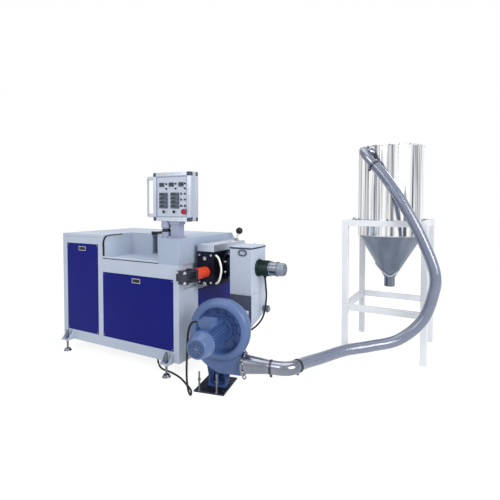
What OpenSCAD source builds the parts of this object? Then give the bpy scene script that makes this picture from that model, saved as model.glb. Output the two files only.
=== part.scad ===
// Plastic pelletizing machine: extruder cabinet, die end with cutter, blower, hose and storage silo.
// Places are written from the cabinet's right front corner on the floor: X right, Y back, Z up.

/* [Cabinet] */
// Square tube of the cabinet posts
tube = 60; // [50:1:80]
// Height of the bottom and top rails
rail_h = 94; // [70:1:110]
// Width of the drive panel at the left
drive_panel_w = 450; // [360:1:560]
// Width of the barrel panel at the right
barrel_panel_w = 855; // [700:1:1000]
// Depth of the cabinet from front to back
cab_depth = 960; // [880:1:1100]
// Height of the cabinet's top over the floor
cab_top = 1170; // [1140:1:1250]
// Height of the frame's underside over the floor
frame_clear = 112; // [90:1:140]
// Height of the feed tray's lip over the floor
lip_z = 968; // [940:1:990]
// Height of the fascia under the lip
fascia_h = 147; // [110:1:180]
// Thickness of the lift-off panels
panel_t = 18; // [10:1:30]
// How far the panels lie behind the frame's face
panel_set = 4; // [2:1:10]
// Thickness of the drive cover
cover_t = 30; // [20:1:40]
// Clear gap round a panel
panel_gap = 0.3; // [0.2:0.1:1]

/* [Feed tray] */
// Width of the raised housing at the die end
housing_w = 222; // [200:1:300]
// Clear depth of the tray from front to back wall
tray_depth = 370; // [320:1:450]
// Sheet thickness of the tray
tray_t = 6; // [3:1:10]
// Radius of the rolled lip
lip_r = 9; // [7:1:14]
// Sheet that rises from the tray floor into the lip
lip_web = 4; // [2:1:6]
// Width of the feed throat in the back wall
throat_w = 66; // [50:1:120]
// Height of the feed throat
throat_h = 180; // [120:1:190]
// Drop of the cover's chamfer at the back
chamfer_drop = 110; // [60:1:140]

/* [Feet] */
// Diameter of a levelling pad
pad_d = 76; // [60:1:100]
// Height of a levelling pad
pad_h = 22; // [14:1:30]
// Diameter of a levelling screw
screw_d = 20; // [16:1:24]
// How far the screws stand before the frame
foot_out = 40; // [40:1:60]
// Distance of the screws from the cabinet's ends
foot_in = 105; // [80:1:160]
// Width of a foot bracket
bracket_w = 96; // [80:1:120]

/* [Controls] */
// Side of the square column
column_w = 80; // [60:1:90]
// Height of the column
column_h = 144; // [120:1:250]
// Width of the control box
box_w = 400; // [360:1:480]
// Height of the control box
box_h = 414; // [370:1:460]
// Depth of the control box
box_d = 112; // [80:1:140]
// Section of the box's profile frame
profile = 34; // [28:1:40]

/* [Die end] */
// Distance of the barrel axis behind the cabinet's front
axis_y = 430; // [410:1:450]
// Height of the barrel axis over the floor
axis_z = 910; // [900:1:925]
// Distance of the screen changer from the cabinet's end
changer_x = 45; // [35:1:60]
// Width of the screen changer along the barrel
changer_w = 170; // [150:1:190]
// Length of the screen changer across the barrel
changer_l = 460; // [420:1:480]
// Height of the screen changer
changer_h = 290; // [270:1:310]
// Length of the die between screen changer and hood
die_l = 100; // [80:1:140]
// Diameter of the die flange
die_flange_d = 260; // [230:1:280]
// Diameter of the ram's barrel
ram_d = 96; // [80:1:105]
// Length of the ram's barrel
ram_l = 175; // [140:1:200]
// Length of the ram's tie rods
tie_l = 95; // [70:1:120]

/* [Cutter hood] */
// Width of the hood along the barrel
hood_w = 213; // [190:1:240]
// Width of the hood across the barrel
hood_d = 260; // [240:1:280]
// Height of the hood's top over the floor
hood_top = 1078; // [1060:1:1100]
// Height of the hood's underside over the floor
hood_bottom = 690; // [670:1:710]
// Diameter of the cutter motor
cutter_d = 134; // [110:1:145]
// Height of the chute's lower front edge
chute_low = 420; // [400:1:440]
// Height of the chute's lower back edge
chute_back = 500; // [480:1:520]

/* [Blower] */
// Turn of the blower about the upright
blower_yaw = 11.5; // [8:0.5:14]
// Height of the blower shaft over the floor
blower_z = 476; // [460:1:500]
// Radius of the front ring
ring_r = 245; // [230:1:255]
// Radius of the recess in the ring
recess_r = 175; // [160:1:185]
// Depth of the scroll casing
scroll_d = 110; // [95:1:125]
// Least radius of the scroll
scroll_r = 222; // [210:1:235]
// Growth of the scroll from its tongue to its outlet
scroll_grow = 121; // [105:1:130]
// Length of the motor before the recess floor
motor_l = 478; // [440:1:520]
// Radius of the motor over its fins
motor_r = 90; // [80:1:98]
// Diameter of the outlet pipe and elbow
run_d = 106; // [98:1:115]
// Diameter of the inlet pipe on the silo
pipe_d = 80; // [70:1:90]
// Length of the outlet cone
cone_l = 190; // [150:1:220]

/* [Silo] */
// Distance of the silo's axis from the cabinet's end
silo_x = 1415; // [1380:1:1430]
// Distance of the silo's axis behind the cabinet's front
silo_y = 1620; // [1600:1:1660]
// Outer diameter of the silo
silo_d = 620; // [600:1:640]
// Height of the silo's rim over the floor
silo_top = 2030; // [2000:1:2100]
// Height of the joint between cylinder and cone
cone_top = 1150; // [1100:1:1180]
// Height of the cone's lower end
cone_low = 718; // [690:1:760]
// Outer diameter of the outlet spigot
spigot_d = 104; // [90:1:130]
// Length of the outlet spigot
spigot_l = 92; // [70:1:120]
// Sheet thickness of the silo
silo_t = 4; // [3:1:6]
// Square tube of the stand
leg = 56; // [45:1:60]
// Distance between the legs' centres
leg_pitch = 715; // [710:1:760]
// Height of the stand
stand_h = 1304; // [1260:1:1340]
// Height of the lower rails' centre
low_rail_z = 450; // [350:1:550]

/* [Hidden] */
$fn = 64;
touch = 0.3;

cab_w = 3*tube + drive_panel_w + barrel_panel_w;
left_x = -cab_w;
mid_x = -2*tube - barrel_panel_w;
rail_low = frame_clear + rail_h;
post_top = cab_top - cover_t;
drive_panel_top = cab_top - rail_h;
barrel_panel_top = lip_z - fascia_h;
rear_y = cab_depth - tube;
tray_left = mid_x + tube;
tray_right = -housing_w;
tray_floor = lip_z - 2*lip_r;
throat_x = tray_left + 0.46*(tray_right - tray_left);
end_set = 25;
end_ledge_z = 730;
end_strip = 268;
end_panel_top = 690;
deck_z = tray_floor - tray_t;
throat_deep = 120;
pull_w = 84;
pull_h = 36;
pull_t = 3;
pull_rim = 8;
pull_drop = 50;
shelf_t = 10;
nut_h = 14;
flange_t = 8;
flange_out = 16;
collar_h = 26;
collar_out = 8;
face_set = 8;
face_in = profile + 1;
face_t = 4;
handle_z = 46;
handle_y = 20;
handle_out = 76;
handle_r = 9;
barrel_r = 105;
cap_t = 30;
tie_r = 7;
lever_l = 92;
lever_lean = 38;
lever_in = 20;
lever_r = 8;
hub_half = 18;
hub_h = 16;
knob_r = 26;
seal_t = 12;
seal_in = 4;
lid_t = 10;
lid_over = 3;
latch_r = 27;
latch_rim = 9;
latch_drop = 32;
latch_t = 10;
stub_l = 58;
stub_r = 26;
stub_lip = 7;
stub_in = 42;
stub_up = 36;
// The cutter motor's flange, frame, ring and cap: start, end, and both radii as parts of the motor's.
cutter_steps = [[0, 14, 1.14, 1.14], [14, 118, 1, 1], [118, 185, 0.9, 0.9], [185, 248, 0.86, 0.82]];
die_flange_t = 34;
die_r = 100;

column_in = 27;
column_set = 30;
box_over = 222;
column_x = -column_w/2 - column_in;
column_y = column_w/2 + column_set;
box_z = cab_top + column_h;
box_y = column_y - box_d/2;
box_left = column_x - box_over;

// Instruments on the control face: places as parts of the box's width and height from its upper left corner.
meter_us = [0.24, 0.5, 0.76];
meter_v = 0.254;
meter = [0.12*box_w, 8, 0.087*box_h];
controller_us = [0.185, 0.4925];
controller_v = 0.739;
controller_step = 0.082;
controller = [0.205*box_w, 12, 0.077*box_h];
button_us = [0.768, 0.866];
button_vs = [0.442, 0.558, 0.684];
button = [0.03*box_w, 9];
selector_us = [0.3025, 0.5775];
selector_v = 0.807;
selector = [0.035*box_w, 10];
selector_grip = [0.02*box_w, 13, 0.063*box_h];
trim_us = [0.365, 0.615, 0.862];
trim_vs = [0.239, 0.336];
trim = [0.02*box_w, 12];
stop_at = [0.848, 0.802];
stop_r = 0.06*box_w;
stop_stem = 14;
stop_cap = 12;

// Stepped duct that takes the cables from the cabinet up into the control box.
duct_out = 113;
duct_set = 10;
duct_r = 44;
duct_base_r = 40;
duct_waist_r = 31;

changer_y = axis_y - 0.5*changer_l;
changer_z = axis_z - 150;
changer_end = changer_x + changer_w;
changer_top = changer_z + changer_h;
bar_h = 60;
bar_back = 310;
ram_z = changer_z + 115;
ram_x = changer_x + changer_w/2;
ram_end = changer_y - ram_l;
hood_x = changer_end + die_l;
hood_end = hood_x + hood_w;
hood_y = axis_y - hood_d/2;
hood_back = axis_y + hood_d/2;

blower_x = 427;
blower_y = -50;
scroll_y = 30;
recess_y = 70;
scroll_back = scroll_y + scroll_d;
outlet_y = scroll_y + scroll_d/2;
outlet_h = 150;
outlet_x = 175;
outlet_z = -(scroll_r + scroll_grow) + outlet_h/2;
outlet_flange_t = 16;
cone_x = outlet_x + outlet_flange_t;
elbow_x = cone_x + cone_l;
elbow_run = 90;
elbow_bend = 120;
elbow_angle = 60;
plate_t = 12;
foot_t = 14;
fan_end = recess_y - motor_l;
fan_end_r = 62;
cover_l = 105;

duct_wall = 10;
mouth_left = 15;
mouth_right = 25;
mouth_low = 12;
mouth_high = 85;
inlet_l = 25;
inlet_r = 80;
scroll_steps = 48;
ring_step = 10;
ring_lip = 16;
scroll_power = 3.5;
ring_bulge = 40;
rim_d = 34;
fins = 25;
fin_h = 14;
fin_t = 5;
pad_w = 76;
motor_flange_t = 12;
motor_flange_r = 124;
shield_l = 36;
grille_pitch = 10;
grille_deep = 6;
grille_slot = 5;
gland_r = 14;
gland_l = 16;
pad_t = 12;
terminal_w = 100;
terminal_h = 38;
terminal_lid = 10;
terminal_lip = 3;
terminal_in = 100;
gland_reach = 76;
gland_up = 32;
stand_left = -110;
stand_right = 42;
stand_front = 44;
stand_back = 164;
web_y = 109;
web_t = 24;
web_high = 200;
flare = 46;
gusset_h = 96;
hole_w = 42;
stud_y = -52;
plate_x = -60;
plate_y = 97.5;
plate_w = 250;
plate_l = 315;
hole_pitch = 216;
hole_r = 9;
stud_xs = [-140, 5];
stud_l = 150;
stud_r = 7;
eye_r = 13;
eye_wire = 5;
flange_rim = 18;
clamp_ear = 21;
clamp_w = 18;
clamp_t = 4;
clamp_in = 30;
rim_r = 8;
lug_w = 80;
lug_t = 14;
hose_d = 98;
cable_d = 16;
sleeve_d = 18;

// Routes of the hose and the cables.
hose_route = [
    [961, 207, 208], [1000, 322, 208], [1080, 470, 210], [1210, 690, 222], [1390, 850, 240], [1590, 990, 285],
    [1765, 1080, 440], [1848, 1105, 650], [1868, 1120, 860], [1762, 1140, 1150], [1605, 1160, 1450],
    [1440, 1190, silo_top - 330], [1315, 1220, silo_top - 185]
];
inlet_route = [
    hose_route[12], [1262, 1234, silo_top - 124], [1225, 1262, silo_top - 75], [1222, 1310, silo_top - 58],
    [1232, 1380, silo_top - 58], [1250, 1440, silo_top - 58]
];
blower_cable_route = [
    [-270, 40, 96], [-265, 40, 60], [-225, 40, 16], [-110, 30, 10], [20, -15, 10], [130, -80, 10],
    [235, -150, 10], [288, -222, 14], [296, -262, 70], [300, -285, 190], [318, -300, 390], [322, -292, 520],
    [345, -277, 590], [393, -264, 598]
];
cutter_cable_route = [
    [590, 430, 828], [598, 430, 750], [600, 432, 640], [580, 405, 490], [520, 320, 400], [400, 270, 360],
    [200, 290, 330], [60, 335, 320], [14, 340, 320]
];

// The line's middle on the floor, measured over everything but the hose and cables.
line_min_y = blower_y + fan_end*cos(blower_yaw) - fan_end_r*sin(blower_yaw);
line_max_x = silo_x + leg_pitch/2 + leg/2;
line_max_y = silo_y + leg_pitch/2 + leg/2;
line_mid = [(left_x + line_max_x)/2, (line_min_y + line_max_y)/2, 0];

frame_grey = [0.76, 0.79, 0.84];
panel_blue = [0.10, 0.11, 0.42];
dark = [0.10, 0.11, 0.14];
steel = [0.78, 0.79, 0.81];
enamel = [0.42, 0.54, 0.74];
black = [0.06, 0.06, 0.07];

module place() { translate(-line_mid) children(); }

module at_blower() {
    place() translate([blower_x, blower_y, blower_z]) rotate([0, 0, blower_yaw]) children();
}

module at_silo() { place() translate([silo_x, silo_y, 0]) children(); }

module block(from, to) { translate(from) cube(to - from); }

module rod_x(x0, x1, y, z, r1, r2) {
    translate([x0, y, z]) rotate([0, 90, 0]) cylinder(h = x1 - x0, r1 = r1, r2 = r2);
}

module rod_y(y0, y1, x, z, r1, r2) {
    translate([x, y0, z]) rotate([-90, 0, 0]) cylinder(h = y1 - y0, r1 = r1, r2 = r2);
}

// A prism along X from an outline of [y, z] points.
module prism_x(x0, x1, outline) {
    translate([x0, 0, 0]) rotate([90, 0, 90]) linear_extrude(x1 - x0) polygon(outline);
}

// A prism along Y from a drawing in the plane of X and Z.
module prism_y(y0, y1) {
    translate([0, y1, 0]) rotate([90, 0, 0]) linear_extrude(y1 - y0) children();
}

// One point of a smooth curve through p1 and p2, with p0 and p3 as its outer neighbours.
function curve_point(p0, p1, p2, p3, t) =
    0.5*(2*p1 + (p2 - p0)*t + (2*p0 - 5*p1 + 4*p2 - p3)*t*t + (3*p1 - p0 - 3*p2 + p3)*t*t*t);

function curve(points, steps) = let (last = len(points) - 1) [
    for (i = [0:last - 1], k = [0:steps - 1])
        curve_point(points[max(i - 1, 0)], points[i], points[i + 1], points[min(i + 2, last)], k/steps),
    points[last]
];

function unit(v) = v/norm(v);

// Directions square to a route, each turned from the one before by as little as the bend needs.
function carried(along, i, before) = i == len(along) ? [] :
    let (s = unit(before - (before*along[i])*along[i])) concat([s], carried(along, i + 1, s));

// A round tube swept along a list of points, with flat ends square to the route.
module sweep(path, d, sides) {
    last = len(path) - 1;
    along = [for (i = [0:last]) unit(path[min(i + 1, last)] - path[max(i - 1, 0)])];
    side = carried(along, 0, abs(along[0].z) < 0.9 ? [0, 0, 1] : [1, 0, 0]);
    over = [for (i = [0:last]) cross(side[i], along[i])];
    ring = [for (i = [0:last], k = [0:sides - 1])
        path[i] + d/2*(cos(360*k/sides)*side[i] + sin(360*k/sides)*over[i])];
    walls = [for (i = [0:last - 1], k = [0:sides - 1])
        [i*sides + k, i*sides + (k + 1)%sides, (i + 1)*sides + (k + 1)%sides, (i + 1)*sides + k]];
    near = [for (k = [0:sides - 1]) sides - 1 - k];
    far = [for (k = [0:sides - 1]) last*sides + k];
    polyhedron(ring, concat([near, far], walls));
}

module frame_posts() {
    color(frame_grey) place()
        for (y = [0, rear_y]) {
            for (x = [left_x, mid_x]) block([x, y, frame_clear], [x + tube, y + tube, post_top]);
            block([-tube, y, frame_clear], [0, y + tube, deck_z]);
        }
}

module frame_rails() {
    color(frame_grey) place() {
        for (y = [0, rear_y]) {
            block([left_x + tube, y, frame_clear], [mid_x, y + tube, rail_low]);
            block([mid_x + tube, y, frame_clear], [-tube, y + tube, rail_low]);
            block([left_x + tube, y, drive_panel_top], [mid_x, y + tube, post_top]);
        }
        block([left_x, tube, drive_panel_top], [left_x + tube, rear_y, post_top]);
        for (x = [left_x, -tube]) block([x, tube, frame_clear], [x + tube, rear_y, rail_low]);
    }
}

// A lift-off panel in the front or back of the frame.
module upright_panel(x0, x1, y, top) {
    block([x0 + panel_gap, y, rail_low + panel_gap], [x1 - panel_gap, y + panel_t, top - panel_gap]);
}

module drive_panel() {
    color(panel_blue) place() upright_panel(left_x + tube, mid_x, panel_set, drive_panel_top);
}

module barrel_panel() {
    color(panel_blue) place() upright_panel(mid_x + tube, -tube, panel_set, barrel_panel_top);
}

module plain_panels() {
    rear_face = cab_depth - panel_set - panel_t;
    color(panel_blue) place() {
        upright_panel(left_x + tube, mid_x, rear_face, drive_panel_top);
        upright_panel(mid_x + tube, -tube, rear_face, deck_z);
        block([left_x + panel_set, tube + panel_gap, rail_low + panel_gap],
              [left_x + panel_set + panel_t, rear_y - panel_gap, drive_panel_top - panel_gap]);
    }
}

module die_end_panel() {
    color(panel_blue) place()
        block([-panel_set - panel_t, end_strip + panel_gap, rail_low + panel_gap],
              [-panel_set, rear_y - panel_gap, end_panel_top]);
}

module die_end_plates() {
    color(frame_grey) place() {
        block([-panel_t, tube, rail_low], [0, end_strip, end_ledge_z]);
        block([-end_set - panel_t, tube, end_panel_top], [-end_set, rear_y, deck_z]);
    }
}

module front_fascia() {
    color(frame_grey) place()
        block([mid_x + tube, 0, barrel_panel_top], [-tube, panel_t, deck_z]);
}

module drive_cover() {
    color(frame_grey) place() block([left_x, 0, post_top], [tray_left, cab_depth, cab_top]);
}

// Outline of the raised covers, seen from the die end.
function cover_outline(front) = [
    [front, deck_z], [cab_depth, deck_z], [cab_depth, cab_top - chamfer_drop],
    [cab_depth - chamfer_drop, cab_top], [front, cab_top]
];

// The room of the feed throat between two depths.
module throat_room(y0, y1) {
    block([throat_x - throat_w/2, y0, lip_z], [throat_x + throat_w/2, y1, lip_z + throat_h]);
}

module rear_cover() {
    front = tray_depth + tray_t;
    color(frame_grey) place() difference() {
        prism_x(tray_left, tray_right, cover_outline(front));
        throat_room(front - 1, front + throat_deep);
    }
}

module feed_tray() {
    color(frame_grey) place() {
        block([tray_left, lip_r - lip_web/2, deck_z], [tray_right, tray_depth, tray_floor]);
        block([tray_left, lip_r - lip_web/2, deck_z], [tray_right, lip_r + lip_web/2, lip_z - lip_r]);
        rod_x(tray_left, tray_right, lip_r, lip_z - lip_r, lip_r, lip_r);
        block([tray_left, lip_r - lip_web/2, deck_z], [tray_left + tray_t, tray_depth + tray_t, cab_top]);
        difference() {
            block([tray_left, tray_depth, deck_z], [tray_right, tray_depth + tray_t, cab_top]);
            throat_room(tray_depth - 1, tray_depth + tray_t + 1);
        }
    }
}

module feed_throat() {
    back = tray_depth + tray_t + throat_deep;
    color(dark) place() throat_room(back - throat_deep/2, back);
}

module die_end_housing() {
    color(frame_grey) place() difference() {
        prism_x(tray_right, 0, cover_outline(0));
        rod_x(-end_set, 1, axis_y, axis_z, barrel_r + touch, barrel_r + touch);
    }
}

module cable_duct() {
    base_h = 0.35*column_h;
    waist_h = 0.53*column_h;
    outline = [
        [0, 0], [duct_base_r, 0], [duct_base_r, base_h], [duct_waist_r, base_h], [duct_waist_r, waist_h],
        [duct_r, waist_h + duct_r - duct_waist_r], [duct_r, column_h - touch], [0, column_h - touch]
    ];
    color(steel) place() translate([column_x - duct_out, column_y - duct_set, cab_top])
        rotate_extrude() polygon(outline);
}

module pull(x, z, w) {
    difference() {
        block([x - w/2, panel_set - pull_t, z - pull_h/2], [x + w/2, panel_set, z + pull_h/2]);
        block([x - w/2 + pull_rim, panel_set - pull_t - 1, z - pull_h/2 + pull_rim],
              [x + w/2 - pull_rim, panel_set - 1, z + pull_h/2 - pull_rim]);
    }
}

module panel_pulls() {
    color(steel) place() {
        pull(left_x + tube + drive_panel_w/2, drive_panel_top - pull_drop, pull_w);
        pull(mid_x + tube + barrel_panel_w/2, barrel_panel_top - pull_drop, pull_w);
    }
}

// The places of the levelling screws, at the front and then, mirrored, at the back.
module at_feet() {
    place()
        for (x = [left_x + foot_in, -foot_in]) {
            translate([x, 0, 0]) children();
            translate([x, cab_depth, 0]) mirror([0, 1, 0]) children();
        }
}

module foot_brackets() {
    shelf_y = -foot_out - pad_d/2;
    color(frame_grey) at_feet() {
        difference() {
            block([-bracket_w/2, shelf_y, frame_clear], [bracket_w/2, 0, frame_clear + shelf_t]);
            translate([0, -foot_out, frame_clear - 1]) cylinder(h = shelf_t + 2, d = screw_d + 2*touch);
        }
        for (x = [-bracket_w/2, bracket_w/2 - shelf_t])
            prism_x(x, x + shelf_t, [[shelf_y, frame_clear], [0, frame_clear], [0, rail_low]]);
    }
}

module levelling_feet() {
    color(steel) at_feet() translate([0, -foot_out, 0]) {
        cylinder(h = pad_h, d1 = pad_d, d2 = 0.7*pad_d);
        cylinder(h = rail_low, d = screw_d);
        for (z = [frame_clear - nut_h, frame_clear + shelf_t])
            translate([0, 0, z]) cylinder(h = nut_h, d = 1.7*screw_d, $fn = 6);
    }
}

// A square upright about the Z axis.
module upright(half, z0, z1) { block([-half, -half, z0], [half, half, z1]); }

module control_column() {
    color(frame_grey) place() translate([column_x, column_y, cab_top]) {
        upright(column_w/2, 0, column_h);
        upright(column_w/2 + flange_out, 0, flange_t);
        upright(column_w/2 + collar_out, column_h - collar_h, column_h);
    }
}

// The eight corners of the control box, each as the low corner of its cap.
box_corners = [for (x = [0, box_w - profile], y = [0, box_d - profile], z = [0, box_h - profile]) [x, y, z]];

module at_box() { place() translate([box_left, box_y, box_z]) children(); }

module control_box() {
    color(steel) at_box() difference() {
        cube([box_w, box_d, box_h]);
        block([face_in, -1, face_in], [box_w - face_in, face_set, box_h - face_in]);
        for (c = box_corners)
            block([for (i = [0:2]) c[i] == 0 ? -1 : c[i]],
                  [for (i = [0:2]) c[i] == 0 ? profile : c[i] + profile + 1]);
    }
}

module control_box_corners() {
    color(dark) at_box() for (c = box_corners) translate(c) cube(profile);
}

module control_handle() {
    color(steel) at_box() {
        for (z = [handle_z, box_h - handle_z])
            rod_x(-handle_out, 0, handle_y, z, handle_r, handle_r);
        translate([-handle_out, handle_y, handle_z - handle_r])
            cylinder(h = box_h - 2*handle_z + 2*handle_r, r = handle_r);
    }
}

module control_face() {
    color([0.86, 0.87, 0.9]) at_box()
        block([face_in + touch, face_set - face_t, face_in + touch],
              [box_w - face_in - touch, face_set, box_h - face_in - touch]);
}

// Where the instruments start: on the face plate.
face_y = face_set - face_t;

module on_face(u, v) { translate([u*box_w, face_y, (1 - v)*box_h]) children(); }

// A round instrument of a radius and a depth.
module dial(u, v, size) { on_face(u, v) rotate([90, 0, 0]) cylinder(h = size[1], r = size[0]); }

// A block before the face, centred on its place.
module before_face(u, v, size) { on_face(u, v) translate([-size.x/2, -size.y, -size.z/2]) cube(size); }

module control_instruments() {
    color(dark) at_box() {
        for (u = meter_us) before_face(u, meter_v, meter);
        for (u = controller_us, row = [0:3])
            on_face(u, controller_v - row*controller_step) translate([0, -controller.y, 0]) cube(controller);
        for (u = button_us, v = button_vs) dial(u, v, button);
        for (u = selector_us) {
            dial(u, selector_v, selector);
            translate([0, 1 - selector[1], 0]) before_face(u, selector_v, selector_grip);
        }
        for (u = trim_us, v = trim_vs) dial(u, v, trim);
    }
}

module emergency_stop() {
    color([0.8, 0.08, 0.1]) at_box() on_face(stop_at.x, stop_at.y) rotate([90, 0, 0]) {
        cylinder(h = stop_stem, r = stop_r/2);
        translate([0, 0, stop_stem]) cylinder(h = stop_cap, r1 = stop_r, r2 = 0.8*stop_r);
    }
}

module screen_changer() {
    color(dark) place() {
        block([changer_x, changer_y, changer_z], [changer_end, changer_y + changer_l, changer_top]);
        rod_x(-end_set, changer_x, axis_y, axis_z, barrel_r, barrel_r);
    }
}

module changer_cover() {
    color(steel) place()
        block([changer_x, changer_y, changer_top], [changer_end, axis_y + bar_back, changer_top + bar_h]);
}

module screen_ram() {
    color([0.86, 0.27, 0.16]) place() rod_y(ram_end, changer_y, ram_x, ram_z, ram_d/2, ram_d/2);
}

module ram_caps() {
    half = ram_d/2 + 5;
    far = ram_end - cap_t - tie_l;
    color([0.55, 0.57, 0.6]) place() {
        for (y = [far - cap_t, ram_end - cap_t])
            block([ram_x - half, y, ram_z - half], [ram_x + half, y + cap_t, ram_z + half]);
        for (x = [-1, 1], z = [-1, 1])
            rod_y(far, far + tie_l, ram_x + x*(half - 13), ram_z + z*(half - 13), tie_r, tie_r);
        rod_y(far, far + tie_l, ram_x, ram_z, 0.3*ram_d, 0.3*ram_d);
    }
}

module clamp_lever() {
    color(black) place() translate([ram_x, axis_y + bar_back - lever_in, changer_top + bar_h]) {
        upright(hub_half, 0, hub_h);
        translate([0, 0, hub_h - 2]) rotate([-lever_lean, 0, 0]) {
            cylinder(h = lever_l, r1 = lever_r, r2 = 0.75*lever_r);
            translate([0, 0, lever_l]) sphere(r = knob_r);
        }
    }
}

module die_head() {
    color(dark) place() {
        rod_x(changer_end, changer_end + die_flange_t, axis_y, axis_z, die_flange_d/2, die_flange_d/2);
        rod_x(changer_end, hood_x, axis_y, axis_z, die_r, die_r);
    }
}

sleeve_route = [
    [216, 230, 1020], [250, 228, 990], [275, 226, 910], [262, 228, 830], [240, 230, 790], [216, 232, 775]
];

module heater_sleeve() { color([0.93, 0.93, 0.92]) place() sweep(curve(sleeve_route, 4), sleeve_d, 8); }

module cutter_hood() {
    color(frame_grey) place() block([hood_x, hood_y, hood_bottom], [hood_end, hood_back, hood_top]);
}

// A slab over the hood's outline, grown by a margin.
module hood_slab(margin, z0, z1) {
    block([hood_x - margin, hood_y - margin, z0], [hood_end + margin, hood_back + margin, z1]);
}

module hood_lid() {
    color(frame_grey) place() {
        hood_slab(-seal_in, hood_top, hood_top + seal_t);
        hood_slab(lid_over, hood_top + seal_t, hood_top + seal_t + lid_t);
    }
}

module oval(w, r) {
    hull() for (x = [-1, 1]) translate([x*(w - latch_r)/2, 0]) circle(r = r, $fn = 32);
}

module hood_latch() {
    color([0.7, 0.73, 0.78]) place() translate([hood_x + 0.6*hood_w, 0, hood_top - latch_drop])
        prism_y(hood_y - latch_t, hood_y) difference() {
            oval(2*latch_r, latch_r);
            oval(2*latch_r, latch_r - latch_rim);
        }
}

module pellet_chute() {
    color(frame_grey) place() prism_x(hood_x, hood_end, [
        [hood_y, chute_low], [hood_back, chute_back], [hood_back, hood_bottom], [hood_y, hood_bottom]
    ]);
}

module air_stub() {
    y = hood_back - stub_in;
    z = chute_back + stub_up;
    color(steel) place() {
        rod_x(hood_end, hood_end + stub_l, y, z, stub_r, stub_r);
        rod_x(hood_end + 0.6*stub_l, hood_end + 0.85*stub_l, y, z, stub_r + stub_lip, stub_r + stub_lip);
    }
}

module cutter_motor() {
    r = cutter_d/2;
    color([0.07, 0.2, 0.17]) place()
        for (s = cutter_steps)
            rod_x(hood_end + s[0], hood_end + s[1], axis_y, axis_z, s[2]*r, s[3]*r);
}

// Sheet-metal transition from the chute's front to the round inlet in the blower's back.
module suction_duct() {
    color(frame_grey) hull() {
        place() block([hood_x + mouth_left, hood_y - duct_wall, chute_low + mouth_low],
                      [hood_end - mouth_right, hood_y, blower_z + mouth_high]);
        at_blower() rod_y(scroll_back + inlet_l, scroll_back + inlet_l + duct_wall, 0, 0, inlet_r, inlet_r);
    }
}

// Spiral outline of the scroll: constant from the tongue to the right, then growing faster to the outlet.
tongue = asin((scroll_r + scroll_grow - outlet_h)/scroll_r);
scroll_outline = concat(
    [for (i = [0:scroll_steps]) let (
        a = -tongue + (270 + tongue)*i/scroll_steps,
        r = scroll_r + scroll_grow*pow(max(a, 0)/270, scroll_power)
    ) r*[cos(a), sin(a)]],
    [[outlet_x, -scroll_r - scroll_grow], [outlet_x, outlet_h - scroll_r - scroll_grow]]
);

// Section of the front ring: it rises in a long curve from its outer edge to a crest close to the recess.
ring_crest = recess_r + ring_lip;
ring_section = concat(
    [for (a = [0:ring_step:90]) [ring_crest + (ring_r - ring_crest)*cos(a), ring_bulge*sin(a)]],
    [for (a = [90 + ring_step:ring_step:180]) [ring_crest + ring_lip*cos(a), ring_bulge*sin(a)]]
);

module blower_casing() {
    color(enamel) at_blower() {
        difference() {
            union() {
                prism_y(scroll_y, scroll_back) polygon(scroll_outline);
                rod_y(scroll_y, scroll_y + rim_d, 0, 0, ring_r, ring_r);
            }
            rod_y(scroll_y - 1, recess_y, 0, 0, recess_r, recess_r);
        }
        translate([0, scroll_y, 0]) rotate([90, 0, 0]) rotate_extrude($fn = 96) polygon(ring_section);
        rod_y(scroll_back, scroll_back + inlet_l, 0, 0, inlet_r, inlet_r);
    }
}

// The finned frame of the motor, with a plain pad on top for the terminal box.
module motor_section() {
    circle(r = motor_r - fin_h);
    for (i = [0:fins - 1]) rotate(120 + i*300/(fins - 1)) translate([0, -fin_t/2]) square([motor_r, fin_t]);
    translate([-pad_w/2, 0]) square([pad_w, motor_r]);
}

module blower_motor() {
    color(enamel) at_blower() {
        rod_y(recess_y - motor_flange_t, recess_y, 0, 0, motor_flange_r, motor_flange_r);
        rod_y(recess_y - motor_flange_t - shield_l, recess_y - motor_flange_t, 0, 0, motor_r, motor_r + 14);
        prism_y(fan_end + cover_l, recess_y - motor_flange_t - shield_l) motor_section();
    }
}

module fan_cover() {
    color(enamel) at_blower() translate([0, fan_end + cover_l, 0]) rotate([90, 0, 0]) difference() {
        rotate_extrude() polygon([
            [0, 0], [motor_r + 6, 0], [motor_r + 4, 0.3*cover_l], [fan_end_r + 15, cover_l - 16],
            [fan_end_r + 9, cover_l - 5], [fan_end_r, cover_l], [0, cover_l]
        ]);
        for (r = [14:grille_pitch:fan_end_r - 8]) translate([0, 0, cover_l - grille_deep]) difference() {
            cylinder(h = grille_deep + 1, r = r + grille_slot);
            translate([0, 0, -1]) cylinder(h = grille_deep + 3, r = r);
        }
    }
}

module terminal_box() {
    low = pad_t;
    top = low + terminal_h;
    color(enamel) at_blower() translate([0, fan_end + cover_l + terminal_in, motor_r]) {
        block([-pad_w/2, -terminal_w/2, 0], [pad_w/2, terminal_w/2, low]);
        block([-terminal_w/2, -terminal_w/2, low], [terminal_w/2, terminal_w/2, top]);
        block([-terminal_w/2 - terminal_lip, -terminal_w/2 - terminal_lip, top],
              [terminal_w/2 + terminal_lip, terminal_w/2 + terminal_lip, top + terminal_lid]);
        rod_x(-gland_reach, -terminal_w/2, 0, gland_up, gland_r, gland_r);
    }
}

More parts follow.
